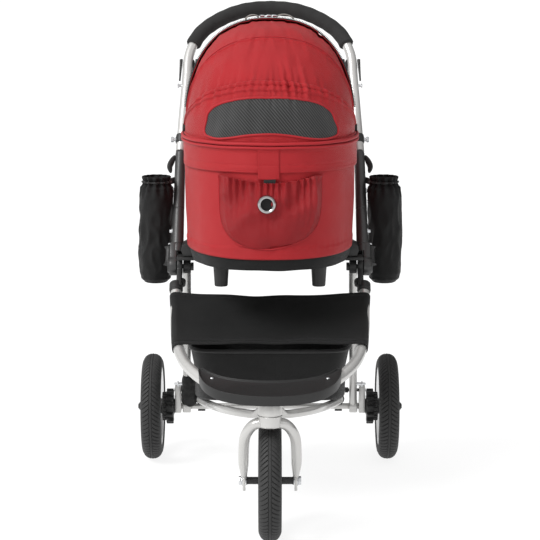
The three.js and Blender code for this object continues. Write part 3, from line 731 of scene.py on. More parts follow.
def fork():
    crown = lathe([(CROWN_LOW, 0), (CROWN_LOW, 0.0185), (CROWN_LOW + 0.002, 0.0203),
                   (CROWN_TOP - 0.003, 0.0222), (CROWN_TOP - 0.001, CROWN_RADIUS),
                   (CROWN_TOP, 0.0222), (CROWN_TOP, 0)], (0, STEERING.y, 0), (0, 0, 1), 48)
    parts = [crown]
    for side in (-1, 1):
        leg = smooth_path([(side * x, STEERING.y + y, z) for x, y, z in WISHBONE])
        parts.append(tube(leg, lambda s: 0.0102 - 0.0005 * s - 0.0042 * max(0, s - 0.78) / 0.22,
                          24))
        outline = [(-0.0085, 0.012), (-0.0115, 0.004), (-0.0115, -0.004), (-0.0085, -0.0100),
                   (-0.0050, -0.0190), (-0.0015, -0.0200), (-0.0020, -0.0115),
                   (0.0040, -0.0110), (0.0100, -0.0060), (0.0115, 0.0020), (0.0085, 0.011)]
        place = Matrix.Translation((side * DROPOUT_X - 0.0026, *FRONT_WHEEL.yz)) @ SIDEWAYS
        parts.append(plate(outline, 0.0052, place, 0.001))
    return joined(*parts)


count(piece("wishbone_fork", fork(), silver, "fork", ["front_fork"]))

# %% [markdown]
# Between the legs two black spacers hold the wheel in the middle. Outside them are the axle nuts,
# bevelled hexagons with a washer under each.


# %% Front spacers, axle and nuts
def hexagon_nut(side, start, width, radius, centre):
    corners = [(radius * math.cos(math.radians(60 * k)), radius * math.sin(math.radians(60 * k)))
               for k in range(6)]
    return plate(corners, width, beside(side, centre, start), 0.0009)


spacer = [(0.0204, 0.0046), (0.0204, 0.0082), (0.0225, 0.0082), (0.0230, 0.0070),
          (0.0425, 0.0070), (0.0430, 0.0080), (0.0450, 0.0080), (0.0450, 0.0046)]
spacers = [turned(side, spacer, FRONT_WHEEL, ring=True) for side in (-1, 1)]
count(piece("hub_spacers", joined(*spacers), plastic, "front_wheel",
            ["front_hub"]))

axle = lathe([(-0.057, 0), (-0.057, 0.0034), (-0.0562, 0.004), (0.0562, 0.004), (0.057, 0.0034),
              (0.057, 0)], FRONT_WHEEL, steps=24)
count(piece("front_axle_bolt", axle, zinc, "fork", ["front_axle"]))
for name, side in SIDES:
    washer = turned(side, [(0.0517, 0.0042), (0.0517, 0.0102), (0.0530, 0.0102),
                           (0.0530, 0.0042)], FRONT_WHEEL, ring=True)
    nut = hexagon_nut(side, 0.0530, 0.0062, 0.0086, FRONT_WHEEL)
    count(piece(f"axle_nut_{name}", joined(washer, nut), zinc, "fork",
                [f"front_axle_nut_{name}"]))

# %% [markdown]
# ## Chassis tubes
# The front tube is one bent loop: it comes down from both folding joints and closes in a wide curve
# over the front wheel. Two lower rails start at the head tube and reach back to the rear axle.

# %% Front loop, head tube and lower rails
SIDE_X = 0.188
FRONT_TUBE_RADIUS = 0.011
FRONT_BEND = [(0.187, -0.077, 0.395), (0.183, -0.137, 0.358), (0.171, -0.205, 0.334),
              (0.149, -0.265, 0.319), (0.113, -0.319, 0.306), (0.058, -0.362, 0.296)]
FRONT_CENTRE = Vector((0, -0.378, 0.292))
half_loop = {side: [along(FRONT_SLOPE, 0.055, side * SIDE_X),
                    *((side * x, y, z) for x, y, z in FRONT_BEND)] for side in (-1, 1)}
front_loop = smooth_path([*half_loop[-1], FRONT_CENTRE, *reversed(half_loop[1])])
count(piece("front_loop", tube(front_loop, FRONT_TUBE_RADIUS, 28), silver, "frame",
            ["front_frame_tube"]))


def head():
    barrel = lathe([(0.2589, 0.0), (0.2589, 0.0218), (0.2600, 0.0230), (0.2790, 0.0230),
                    (0.2805, 0.0222), (0.2812, 0.0200), (0.2812, 0.0)],
                   (0, STEERING.y, 0), (0, 0, 1), 48)
    half = [(0.0, -0.015), (0.036, -0.0145), (0.052, -0.008), (0.066, 0.004), (0.066, 0.010),
            (0.050, 0.020), (0.030, 0.026)]
    bracket = plate(mirrored(half), 0.0048, Matrix.Translation((0, STEERING.y, 0.2792)), 0.0012)
    saddle = tube(smooth_path([(-0.045, FRONT_CENTRE.y + 0.006, 0.2905),
                               (0, FRONT_CENTRE.y + 0.0015, 0.2885),
                               (0.045, FRONT_CENTRE.y + 0.006, 0.2905)]), 0.0125, 24, flat=0.7)
    return joined(barrel, bracket, saddle)


count(piece("head_barrel", head(), silver, "frame", ["head_tube"]))

RAIL = [(0.008, -0.358, 0.271), (0.016, -0.339, 0.260), (0.027, -0.317, 0.247),
        (0.052, -0.293, 0.243), (0.085, -0.247, 0.238), (0.120, -0.077, 0.207),
        (0.146, 0.143, 0.164), (0.150, 0.269, 0.137)]
for name, side in SIDES:
    rail = smooth_path([(side * x, y, z) for x, y, z in RAIL])
    count(piece(f"lower_rail_{name}", tube(rail, 0.008, 22), silver, "frame",
                [f"lower_tube_{name}"]))

# %% [markdown]
# The footplate is a moulded crescent over the front of the loop. Its top is a shallow tray with a
# raised lip: the outline is extruded, the top face is inset and pushed down, and the edges rounded.

# %% Footplate
CREST = [(-0.135, 0.090), (-0.131, 0.056), (-0.119, 0.024), (-0.096, -0.003), (-0.062, -0.020),
         (-0.028, -0.027), (0, -0.0285), (0.028, -0.027), (0.062, -0.020), (0.096, -0.003),
         (0.119, 0.024), (0.131, 0.056), (0.135, 0.090)]
HOLLOW = [(0.126, 0.0905), (0.112, 0.074), (0.088, 0.056), (0.050, 0.043), (0, 0.038),
          (-0.050, 0.043), (-0.088, 0.056), (-0.112, 0.074), (-0.126, 0.0905)]
PLATE_PLACE = (Matrix.Translation(FRONT_CENTRE)
               @ Matrix.Rotation(math.atan2(0.042, 0.173), 4, "X")
               @ Matrix.Translation((0, 0, -0.003)))
PLATE_THICKNESS = 0.020


def footplate():
    outline = smooth_path([(x, y, 0) for x, y in CREST], 4)
    outline += smooth_path([(x, y, 0) for x, y in HOLLOW], 4)
    bm = plate([(p.x, p.y) for p in outline], PLATE_THICKNESS)
    top = max(bm.faces, key=lambda f: f.calc_center_median().z)
    under = min(bm.faces, key=lambda f: f.calc_center_median().z)
    for face, rim, sink in ((top, 0.0016, 0), (top, 0.0012, -0.0032), (under, 0.0014, 0)):
        bmesh.ops.inset_region(bm, faces=[face], thickness=rim, depth=sink, use_even_offset=False)
    rim_edges = [e for e in bm.edges if len(e.link_faces) == 2 and e.calc_face_angle(0) > 0.9]
    bevel(bm, 0.0007, rim_edges, 3)
    bmesh.ops.transform(bm, matrix=PLATE_PLACE, verts=bm.verts)
    return bm


count(piece("footplate_tray", footplate(), plastic, "frame", ["footplate"],
            crease=38))
for name, side in SIDES:
    spot = PLATE_PLACE @ Vector((side * 0.108, 0.053, PLATE_THICKNESS - 0.0034))
    axis = PLATE_PLACE.to_3x3() @ Vector((0, 0, 1))
    screw = lathe([(0, 0.0036), (0.0012, 0.0034), (0.0022, 0.0022), (0.0022, 0.0014),
                   (0.0012, 0.0012), (0.0012, 0)], spot, axis, 24)
    count(piece(f"footplate_screw_{name}", screw, zinc, "frame"))

# %% [markdown]
# ## Rear frame
# Two straight legs come down from the folding joints to the axle. Each starts in a moulded black
# knuckle on the pivot, ends in a clamp round the axle, and carries the brake's guide block and a
# through bolt.

# %% Rear legs, axle and brake parts
LEG_TOP_X, LEG_FOOT_X = 0.1675, 0.182


def leg_ends(side):
    return PIVOT + ACROSS * (side * LEG_TOP_X), REAR_AXLE + ACROSS * (side * LEG_FOOT_X)


for name, side in SIDES:
    top, foot = leg_ends(side)
    leg = [top.lerp(foot, 0.02 + 0.955 * k / 12) for k in range(13)]
    knuckle = turned(side, [(0.1602, 0.0056), (0.1602, 0.0125), (0.1618, 0.0140),
                            (0.1734, 0.0140), (0.1750, 0.0125), (0.1750, 0.0056)], PIVOT, 40, True)
    clamp = turned(side, [(0.1732, 0.0070), (0.1732, 0.0130), (0.1750, 0.0145), (0.1890, 0.0145),
                          (0.1908, 0.0130), (0.1908, 0.0070)], REAR_AXLE, 40, True)
    count(piece(f"leg_tube_{name}", joined(tube(leg, 0.0085, 24), clamp), silver,
                "rear_frame", [f"rear_leg_{name}"]),
          piece(f"leg_knuckle_{name}", knuckle, plastic, "rear_frame"))

    guide = plate([(-0.012, -0.013), (0.012, -0.013), (0.013, 0.030), (0.006, 0.046),
                   (-0.014, 0.046), (-0.013, 0.010)], 0.0136,
                  beside(side, REAR_AXLE, 0.1942), 0.0016)
    count(piece(f"guide_block_{name}", guide, silver, "rear_frame",
                [f"brake_guide_{name}"]))

    high = top.lerp(foot, 0.83)
    bolt = turned(side, [(0.0, 0), (0.0, 0.0052), (0.0025, 0.0052), (0.0025, 0.0036),
                         (0.0130, 0.0036), (0.0138, 0.0064), (0.0165, 0.0064), (0.0170, 0.0030),
                         (0.0230, 0.0026), (0.0236, 0)], high + ACROSS * (side * 0.004), 20)
    count(piece(f"leg_bolt_{name}", bolt, zinc, "rear_frame"))

    cap = turned(side, [(0.2766, 0), (0.2766, 0.0118), (0.2790, 0.0124), (0.2815, 0.0114),
                        (0.2850, 0.0085), (0.2885, 0.0045), (0.2889, 0)], REAR_AXLE)
    count(piece(f"hub_cap_{name}", cap, plastic, "rear_frame",
                [f"axle_cap_{name}"]))

axle_low, axle_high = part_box("rear_axle")
axle_radius = (axle_high.z - axle_low.z) / 2
reach = axle_high.x
axle = lathe([(-reach, 0), (-reach, 0.006), (-0.210, 0.006), (-0.2092, axle_radius),
              (0.2092, axle_radius), (0.210, 0.006), (reach, 0.006), (reach, 0)], REAR_AXLE,
             steps=36)
count(piece("axle_tube", axle, silver, "rear_frame", ["rear_axle"]))

# %% [markdown]
# The pedal and the brake pins are small and mostly hidden, so the frame's own solids stay, with the
# finishes of the real pieces. The same goes for the hoops and hinge pins inside the hood.


# %% Frame solids that stay
def refinish(finish, slot, *names):
    for name in names:
        NODES[name].data.materials.clear()
        NODES[name].data.materials.append(finish)


refinish(plastic, "black_plastic", "brake_pedal", "brake_pin_left", "brake_pin_right",
         "axle_saddle_left", "axle_saddle_right", "hood_hoop_30", "hood_hoop_60",
         "hood_hoop_90", "hood_hinge_left", "hood_hinge_right")
print("frame solids refinished")

# %% [markdown]
# ## Folding joints
# At each side the front tube, the handle and the rear leg meet on one big pivot. Two moulded cheeks
# lie against each other, one on the tube below and one under the sleeve above, with a button cap.
# A ferrule and a short stem lead from the lower cheek to its tube, and a shelf carries the cot.

# %% Joint cheeks, collars and shelves
CHEEK_RADIUS = 0.0185


def cheek(slope, reach, start, width, side, waist=0.0125):
    """A cheek seen from the side: round the pivot, narrowing along the slope."""
    outline = [(CHEEK_RADIUS * math.cos(a), CHEEK_RADIUS * math.sin(a))
               for a in (math.radians(40 + 280 * k / 22) for k in range(23))]
    outline += [(reach * 0.55, -waist * 1.02), (reach, -waist), (reach, waist),
                (reach * 0.55, waist * 1.02)]
    return plate(outline, width, beside(side, PIVOT, start) @ Matrix.Rotation(slope, 4, "Z"),
                 0.0022, 3)


def collar(slope, start, end, x, radius):
    """A collar round a line that leaves the pivot at that slope."""
    axis = Vector((0, math.cos(slope), math.sin(slope)))
    return lathe([(start, 0), (start, radius * 0.9), (start + 0.002, radius),
                  (end - 0.004, radius), (end - 0.003, radius * 0.93), (end, radius * 0.93),
                  (end, 0)], PIVOT + ACROSS * x, axis, 32)


for name, side in SIDES:
    half = cheek(FRONT_SLOPE, 0.056, 0.1768, 0.0108, side)
    ferrule = collar(FRONT_SLOPE, 0.044, 0.0655, side * SIDE_X, 0.0138)
    stem = collar(FRONT_SLOPE, 0.0355, 0.047, side * 0.1782, 0.0094)
    shelf = block((0.0370, 0.064, 0.0066), (side * 0.16875, FOLD.y, 0.4925), 0.0015)
    neck = block((0.0105, 0.020, 0.020), (side * 0.182, FOLD.y, 0.4835), 0.0015)
    count(piece(f"joint_cheek_{name}", joined(half, ferrule, stem, shelf, neck), plastic, "frame",
                [f"frame_hub_{name}"]))
    cap = turned(side, [(0.2028, 0), (0.2028, 0.0135), (0.2045, 0.0138), (0.2066, 0.0120),
                        (0.2068, 0.0060), (0.2058, 0.0050), (0.2058, 0)], PIVOT, 40)
    nut = hexagon_nut(side, 0.1542, 0.0054, 0.0090, PIVOT)
    shank = turned(side, [(0.1545, 0), (0.1545, 0.005), (0.2035, 0.005), (0.2035, 0)], PIVOT, 24)
    count(piece(f"pivot_cap_{name}", joined(cap, nut, shank), satin_black, "frame",
                [f"pivot_bolt_{name}"]))

# %% [markdown]
# ## Handle
# Silver tube comes out of two long black sleeves, bows over the hood and meets in the middle under
# a thick foam grip. The sleeves have a moulded seam, a domed top and two bolts each.

# %% Handle tube and foam grip
SLEEVE_TOP, SLEEVE_TOP_X = 0.270, 0.1865
BAR = [(0.272, 0.1865), (0.360, 0.182), (0.450, 0.177), (0.520, 0.172), (0.573, 0.149),
       (0.611, 0.105), (0.633, 0.055)]
half_bar = {side: [along(HANDLE_SLOPE, d, side * x) for d, x in BAR] for side in (-1, 1)}
bar_path = smooth_path([*half_bar[-1], along(HANDLE_SLOPE, 0.639, 0), *reversed(half_bar[1])])
count(piece("handle_tube", tube(bar_path, 0.0105, 28), silver, "handle",
            ["handle_bar"]))

GRIP_START = 0.285


def grip_radius(share):
    end = min(share, 1 - share)
    return 0.0158 - 0.0022 * max(0, 1 - end / 0.006) ** 2 + 0.0003 * math.sin(share * 90)


grip = tube(stretch(bar_path, GRIP_START, 1 - GRIP_START, 120), grip_radius, 36)
count(piece("foam_grip", grip, foam, "handle", ["handle_grip"]))

# %% Sleeves with their seam, bolts and straps
SEAM_AT, RING_AT = 0.132, 0.048
SLEEVE_LOW, SLEEVE_DOME = 0.030, 0.004
SLEEVE_LENGTH = SLEEVE_TOP + SLEEVE_DOME - SLEEVE_LOW
GROOVE_HALF_WIDTH = 0.0010


def sleeve_radius(share):
    """Tapers upwards, with a groove at the seam and at the lower ring, and a domed top."""
    distance = SLEEVE_LOW + SLEEVE_LENGTH * share
    radius = 0.0127 - 0.0021 * share
    for groove in (SEAM_AT, RING_AT):
        radius -= 0.0011 * math.exp(-((distance - groove) / GROOVE_HALF_WIDTH) ** 2)
    if distance < RING_AT:
        radius += 0.0006
    top = (distance - SLEEVE_TOP + SLEEVE_DOME) / (2 * SLEEVE_DOME)
    return radius * (1 - 0.35 * max(0, top) ** 2)


def sleeve_point(distance, out=0.0, side=1):
    share = (distance - 0.046) / (SLEEVE_TOP - 0.046)
    return along(HANDLE_SLOPE, distance, side * (SIDE_X + (SLEEVE_TOP_X - SIDE_X) * share + out))


for name, side in SIDES:
    path = [sleeve_point(SLEEVE_LOW + SLEEVE_LENGTH * k / 240, 0, side) for k in range(241)]
    half = cheek(HANDLE_SLOPE, 0.050, 0.1882, 0.0146, side)
    sleeve = joined(tube(path, sleeve_radius, 28), half)
    count(piece(f"handle_sleeve_{name}", sleeve, satin_black, "handle",
                [f"side_sleeve_{name}"], crease=30))

    studs = []
    for distance, radius in ((0.178, 0.0052), (0.082, 0.0052), (0.152, 0.0030), (0.052, 0.0030)):
        spot = sleeve_point(distance, 0, side)
        out = 0.0110 + (0.0012 if radius < 0.004 else 0.0)
        profile = [(0, 0), (0, 1.15), (0.0015, 1.15), (0.0018, 0.8), (0.0060, 0.72),
                   (0.0070, 0.4), (0.0070, 0)]
        studs.append(turned(side, [(out + a, radius * r) for a, r in profile], spot, 20))
    count(piece(f"sleeve_studs_{name}", joined(*studs), zinc, "handle",
                [f"sleeve_bolt_{name}"]))

    knob = sleeve_point(0.302, 0, side)
    silver_bolt = turned(side, [(0.009, 0), (0.009, 0.0042), (0.0150, 0.0042), (0.0155, 0.0062),
                                (0.0205, 0.0062), (0.0212, 0.0046), (0.0212, 0)], knob, 20)
    count(piece(f"hood_stud_{name}", silver_bolt, zinc, "handle"))
    inner = turned(-side, [(0.009, 0), (0.009, 0.0075), (0.0130, 0.0085), (0.0165, 0.0072),
                           (0.0178, 0.0040), (0.0178, 0)], knob, 24)
    wrap = collar(HANDLE_SLOPE, 0.292, 0.312, side * 0.1852, 0.0122)
    count(piece(f"hood_knob_{name}", joined(inner, wrap), plastic, "handle"))

    leaf = [sleeve_point(0.262, 0.0115, side), sleeve_point(0.250, 0.017, side),
            sleeve_point(0.236, 0.0215, side), sleeve_point(0.222, 0.019, side)]
    tab = tube(smooth_path(leaf, 6), lambda s: 0.0030 + 0.0048 * math.sin(math.pi * s) ** 0.7, 16,
               flat=0.8, up=ACROSS)
    count(piece(f"strap_tab_{name}", tab, black_webbing, "handle"))

    clip_low, clip_high = sleeve_point(0.004, 0.0175, side), sleeve_point(0.044, 0.0165, side)
    clip = tube([clip_low.lerp(clip_high, k / 10) for k in range(11)],
                lambda s: 0.0042 + 0.0024 * (2 * s - 1) ** 6, 16, flat=1.5, up=ACROSS)
    count(piece(f"buckle_{name}", clip, plastic, "handle"))

# %% [markdown]
# The fold release is a black slider on each arm, pulled up under the grip. It is a short collar, set
# a little behind the middle of the tube, with a long finger down each side.

# %% Release sliders
BEHIND = Vector((0, math.sin(HANDLE_SLOPE), -math.cos(HANDLE_SLOPE))) * 0.0058
FINGER_LOW, COLLAR_LOW, COLLAR_HIGH, STUD_AT = 0.450, 0.482, 0.504, 0.437


def on_arm(side, distance, out=0.0):
    """A point at that distance up the handle's arm, moved out by that much."""
    x = 0.177 - (distance - FINGER_LOW) * 0.005 / 0.070
    return along(HANDLE_SLOPE, distance, side * x + out)


for name, side in SIDES:
    ring_path = [on_arm(side, COLLAR_LOW + (COLLAR_HIGH - COLLAR_LOW) * k / 8) + BEHIND
                 for k in range(9)]
    parts = [tube(ring_path, lambda s: 0.0130 - 0.0012 * (2 * s - 1) ** 4, 28)]
    for out in (-1, 1):
        finger = [on_arm(side, FINGER_LOW + (COLLAR_HIGH - FINGER_LOW) * k / 10,
                         out * (0.0152 + 0.0016 * k / 10)) for k in range(11)]
        parts.append(tube(finger, lambda s: 0.0016 + 0.0014 * s ** 1.5, 14, flat=1.2, up=ACROSS))
    count(piece(f"fold_slider_{name}", joined(*parts), plastic, f"slider_{name}",
                [f"release_slider_{name}"]))
    stud = turned(side, [(0.009, 0), (0.009, 0.0030), (0.0150, 0.0030), (0.0154, 0.0046),
                         (0.0185, 0.0046), (0.0188, 0)], on_arm(side, STUD_AT), 18)
    count(piece(f"stop_stud_{name}", stud, zinc, "handle"))

# %% [markdown]
# ## Cot
# The cot's plan is a superellipse, between an oval and a box. Its points are spaced evenly along
# the edge, so the cloth map on the wall isn't stretched where the outline turns.

# %% The cot's outline
SQUARENESS = 2.35


def super_radius(share, power=SQUARENESS):
    """How high a superellipse stands at that share of its half width."""
    return max(0.0, 1 - abs(share) ** power) ** (1 / power)


def superellipse(share, power=SQUARENESS):
    """A point of a superellipse of half size 1, at that share of a turn."""
    c, s = math.cos(2 * math.pi * share), math.sin(2 * math.pi * share)
    out = (abs(c) ** power + abs(s) ** power) ** (-1 / power)
    return c * out, s * out


def cot_outline(count=720):
    """Points of the outline and its length, starting at +X and going round by the back."""
    rough = []
    for k in range(8 * count + 1):
        x, y = superellipse(k / (8 * count))
        rough.append(Vector((HALF_WIDTH * x, HALF_LENGTH * y, 0)))
    shares = lengths(rough)
    even, k = [], 0
    for i in range(count):
        while shares[k + 1] < i / count:
            k += 1
        even.append(rough[k])
    return even, sum((b - a).length for a, b in zip(rough, rough[1:]))


OUTLINE, PERIMETER = cot_outline()


def outline_at(share, out=0.0):
    """A point on the cot's outline, moved out by that much, and its outward direction."""
    place = (share % 1) * len(OUTLINE)
    k = int(place)
    here = OUTLINE[k % len(OUTLINE)].lerp(OUTLINE[(k + 1) % len(OUTLINE)], place - k)
    ahead = OUTLINE[(k + 4) % len(OUTLINE)] - OUTLINE[(k - 4) % len(OUTLINE)]
    outward = Vector((ahead.y, -ahead.x, 0)).normalized()
    return here + outward * out, outward


def wall_point(share, z, out=0.0):
    """A point on the cot's wall, which narrows a little towards the bottom."""
    taper = 0.975 + 0.025 * (z - WALL_LOW.z) / (WALL_HIGH.z - WALL_LOW.z)
    point, outward = outline_at(share)
    return Vector((point.x * taper, point.y * taper + HOOD.y, z)) + outward * out


def share_at_x(x):
    """The share of the outline where the front of the wall has that x."""
    low, high = 0.5, 1.0
    for _ in range(30):
        middle = (low + high) / 2
        low, high = (middle, high) if outline_at(middle)[0].x < x else (low, middle)
    return (low + high) / 2


print(f"cot outline {PERIMETER:.3f} m round")

# %% [markdown]
# The wall is one strip of cloth right round the cot. It is not a clean cylinder: it swells a little
# between its top and bottom, ripples where it is pulled, and its hem is turned up and stitched
# twice. Small soft noise gives the ripples, and a step gives the hem.


# %% Cot wall
HEM_TOP_Z = 0.545
BAND_LOW_Z = 0.689


def soft(x, y, z, scale, seed=0.0):
    """Smooth noise from -1 to 1."""
    return noise.noise(Vector((x * scale + seed, y * scale - seed, z * scale + 2 * seed)))


def wall_relief(point, z):
    height = (z - WALL_LOW.z) / (WALL_HIGH.z - WALL_LOW.z)
    swell = 0.0016 * math.sin(math.pi * height)
    ripple = 0.0013 * soft(point.x, point.y, z * 0.4, 16) + 0.0008 * soft(point.x, point.y, z, 34, 5)
    hem = 0.0011 if z < HEM_TOP_Z else 0.0
    tug = 0.0006 * math.sin(point.x * 260 + point.y * 300) * math.exp(-abs(z - HEM_TOP_Z) / 0.006)
    return swell + ripple + hem + tug


def bottom_of_wall(share):
    """The lower edge dips a little at the front and the back."""
    point, _ = outline_at(share)
    return WALL_LOW.z + 0.003 - 0.004 * (point.y / HALF_LENGTH) ** 2


def wall_shape(s, t):
    share = s + 0.25
    z = WALL_HIGH.z + (bottom_of_wall(share) - WALL_HIGH.z) * t
    point = wall_point(share, z)
    return wall_point(share, z, wall_relief(point, z))


wall_height = WALL_HIGH.z - WALL_LOW.z
wall = piece("wall_cloth", cloth(300, 72, wall_shape, (PERIMETER, wall_height),
                                 (0, HOOD.y, 0.63)),
             red_cloth, "cot", ["cot_wall"], thick=0.0012, crease=0)
count(wall)

# %% [markdown]
# The closing band is a second strip over the top of the wall. It is doubled cloth, so its lower edge
# stands off and casts a line of shadow, and at the front its two ends overlap in a placket with a
# tab of webbing under it.

# %% Closing band, placket and tab
BAND_OVERLAP_X = -0.020


def band_shape(s, t, start, end, lift=0.0):
    share = start + (end - start) * s
    point, _ = outline_at(share)
    droop = 0.0035 * (0.5 + 0.5 * soft(point.x, point.y, 0, 7, 3)) - 0.0015
    z = WALL_HIGH.z + 0.001 + (BAND_LOW_Z - droop - WALL_HIGH.z) * t
    fold = 0.0012 * math.sin(math.pi * min(t / 0.22, 1)) - 0.0006 * math.exp(-((t - 0.72) / 0.03) ** 2)
    wavy = 0.0009 * soft(point.x, point.y, z, 22, 9) + 0.0012 * t * soft(point.x, point.y, z, 9, 2)
    out = 0.0036 + lift + fold + wavy + wall_relief(wall_point(share, z), z) * 0.5
    return wall_point(share, z, out)


overlap = share_at_x(BAND_OVERLAP_X)
band_height = WALL_HIGH.z - BAND_LOW_Z
band = piece("closing_band",
             cloth(280, 26, lambda s, t: band_shape(s, t, overlap, overlap + 1.0),
                   (PERIMETER, band_height), (0, HOOD.y, 0.70)),
             red_cloth, "cot", thick=0.0018, crease=0)
placket_end = share_at_x(0.0175)
placket = piece("band_placket",
                cloth(30, 30, lambda s, t: band_shape(s, t * 1.24, overlap - 0.002, placket_end,
                                                      0.0024 - 0.0012 * s),
                      (0.038, band_height * 1.24), (0, HOOD.y, 0.70)),
                red_cloth, "cot", thick=0.0014, crease=0)
tab_shares = (share_at_x(-0.0115), share_at_x(0.0105))


def tab_shape(s, t):
    share = tab_shares[0] + (tab_shares[1] - tab_shares[0]) * s
    return wall_point(share, BAND_LOW_Z - 0.006 - 0.0165 * t, 0.0046 + 0.0015 * math.sin(3 * t))


tab = piece("webbing_tab", cloth(10, 10, tab_shape, (0.022, 0.0165), (0, HOOD.y, 0.69)),
            black_webbing, "cot", thick=0.0016, crease=0)
count(band, placket, tab)

# %% [markdown]
# The rim of the cot is a welt: two cords sewn into the cloth, one above the other. A bar swept round
# the outline makes each of them, a little wavy because it is pulled tight by the hood's zip.


# %% Rim welts
def round_cot(z, out, wobble=0.0, count=240):
    path = []
    for k in range(count + 1):
        share = k / count
        point, outward = outline_at(share, out + wobble * noise.noise(Vector((share * 40, z, 0))))
        path.append(Vector((point.x, point.y + HOOD.y, z + wobble * math.sin(share * 90) * 0.4)))
    return path


def hoop_tube(path, radius, sides=14, flat=1.0, up=None):
    """A bar whose two ends meet: its end caps are dissolved into each other."""
    bm = tube(path, radius, sides, flat, up)
    caps = [f for f in bm.faces if len(f.verts) == sides and sides > 4]
    bmesh.ops.delete(bm, geom=caps, context="FACES_ONLY")
    bmesh.ops.remove_doubles(bm, verts=bm.verts, dist=radius * 0.3 if not callable(radius) else 1e-4)
    return bm


UP = Vector((0, 0, 1))
welts = joined(hoop_tube(round_cot(0.7448, 0.0052, 0.0006), 0.0032, up=UP),
               hoop_tube(round_cot(0.7375, 0.0058, 0.0008), 0.0026, up=UP))
count(piece("rim_welts", welts, red_trim, "cot", ["cot_rim"], crease=0))

# %% [markdown]
# The pocket is a bag of the same cloth. Its sides and rounded bottom are sewn to the wall, so the
# middle stands off like a pillow, and elastic gathers its mouth into a row of pleats that fan out
# and fade. The relief is a sum of those three things, and one grid carries it all.

# %% Gathered pocket
POCKET_TOP_Z, POCKET_LOW_Z = 0.684, 0.5475
POCKET_LEFT_X, POCKET_RIGHT_X = -0.097, 0.0985
POCKET_MIDDLE = (POCKET_LEFT_X + POCKET_RIGHT_X) / 2
POCKET_HALF = (POCKET_RIGHT_X - POCKET_LEFT_X) / 2
EYELET_X, EYELET_Z = -0.006, 0.633


def pocket_edge(t):
    """Half width of the pocket: nearly straight sides and a round bottom."""
    return POCKET_HALF * max(0.0, 1 - max(0.0, (t - 0.30) / 0.70) ** 3.2) ** 0.34


def pocket_shape(s, t):
    across = 2 * s - 1
    low = POCKET_LOW_Z + 0.004 * across
    sag = 0.0125 * (1 - (min(abs(across), 0.84) / 0.84) ** 2)
    top = POCKET_TOP_Z - sag
    z = top + (low - top) * t
    x = POCKET_MIDDLE + across * pocket_edge(t)
    inner = min(1.0, (1 - abs(across)) / 0.16)
    hang = math.sin(math.pi * min(1, t * 0.93 + 0.07)) ** 0.7
    puff = 0.0135 * inner * hang * (1 - 0.25 * across ** 2)
    gathered = math.exp(-t / 0.20) * (1 if abs(across) < 0.80 else 0.25)
    comb = math.sin(across * 46 + 1.8 * math.sin(across * 9)) * 0.0042 * gathered
    drag = (x - EYELET_X) * 55 + 7 * t + 2.2 * soft(x, 0, z, 20, 4)
    fan = 0.0052 * math.sin(drag) * math.exp(-((t - 0.32) / 0.26) ** 2) * inner
    crush = 0.0070 * soft(x, z * 0.6, 0, 24, 8) * inner * (0.4 + 0.6 * hang)
    mouth_roll = 0.0022 * math.exp(-(t / 0.035) ** 2)
    lift = 0.0022 + puff + comb + fan + crush + mouth_roll
    return wall_point(share_at_x(x), z, max(0.0016, lift))


# The pocket's finish is painted darker than the wall, as the shade of the lower front.
pocket = piece("gathered_pocket",
               cloth(170, 110, pocket_shape, (2 * POCKET_HALF * 1.25, 0.145), (0, HOOD.y, 0.62)),
               red_satin_painted_shade, "cot", thick=0.001, crease=0)
edge_path = [pocket_shape(0.0, k / 40) for k in range(41)]
edge_path += [pocket_shape(1.0, 1 - k / 40) for k in range(1, 41)]
welt = tube(smooth_path(edge_path[::2], 3), 0.0013, 10)
count(pocket, piece("pocket_piping", welt, red_trim, "cot", crease=0))

# %% [markdown]
# The eyelet is a pressed ring with a dark hole. It has to lie on the pocket's uneven cloth, so the
# pocket's own shape is searched for the point at the eyelet's x and height.


# %% The eyelet in the pocket
def pocket_lift(x, z):
    """The pocket's place at that x and height, found from the same shape."""
    best = min(((pocket_shape(i / 60, j / 60) - Vector((x, 0, z))) for i in range(12, 48)
                for j in range(6, 50)), key=lambda d: d.x ** 2 + d.z ** 2)
    return best.y


EYELET = Vector((EYELET_X, pocket_lift(EYELET_X, EYELET_Z) - 0.0035, EYELET_Z))
TOWARDS_FRONT = Vector((0, -1, 0.02))
ring = lathe([(-0.004, 0.0116), (0.0012, 0.0108), (0.0034, 0.0118), (0.0046, 0.0140),
              (0.0040, 0.0162), (0.0018, 0.0178), (-0.0010, 0.0181), (-0.004, 0.0172)],
             EYELET, TOWARDS_FRONT, 64, ring=True)
hole = lathe([(-0.0035, 0), (-0.0035, 0.0112), (-0.0020, 0.0112), (-0.0022, 0.0060), (-0.0026, 0)],
             EYELET, TOWARDS_FRONT, 40)
count(piece("eyelet_ring", ring, chrome, "cot"),
      piece("eyelet_shade", hole, black_cloth, "cot"))

# %% [markdown]
# Stitches are real little beads of thread, a few faces each. Two rows follow the hem, one row each
# side of the placket and one the lower edge of the band.


# %% Stitches
STITCH_GAP = 0.0042


def stitch_row(path, gap=STITCH_GAP, length=0.0026, radius=0.00045):
    """Small stretched beads along a path, a gap apart."""
    total = sum((b - a).length for a, b in zip(path, path[1:]))
    amount = max(2, int(total / gap))
    row = bmesh.new()
    spots = stretch(path, 0, 0.9999, amount)
    for here, ahead in zip(spots, spots[1:]):
        turn = Vector((1, 0, 0)).rotation_difference((ahead - here).normalized())
        place = Matrix.Translation((here + ahead) / 2) @ turn.to_matrix().to_4x4()
        place = place @ Matrix.Diagonal((length / 2, radius, radius, 1))
        bmesh.ops.create_icosphere(row, subdivisions=1, radius=1, matrix=place)
    return row


def on_wall(z, out, steps=240):
    """A line right round the wall at that height, on its uneven cloth."""
    shares = [k / steps for k in range(steps + 1)]
    return [wall_point(share, z, wall_relief(wall_point(share, z), z) + out) for share in shares]


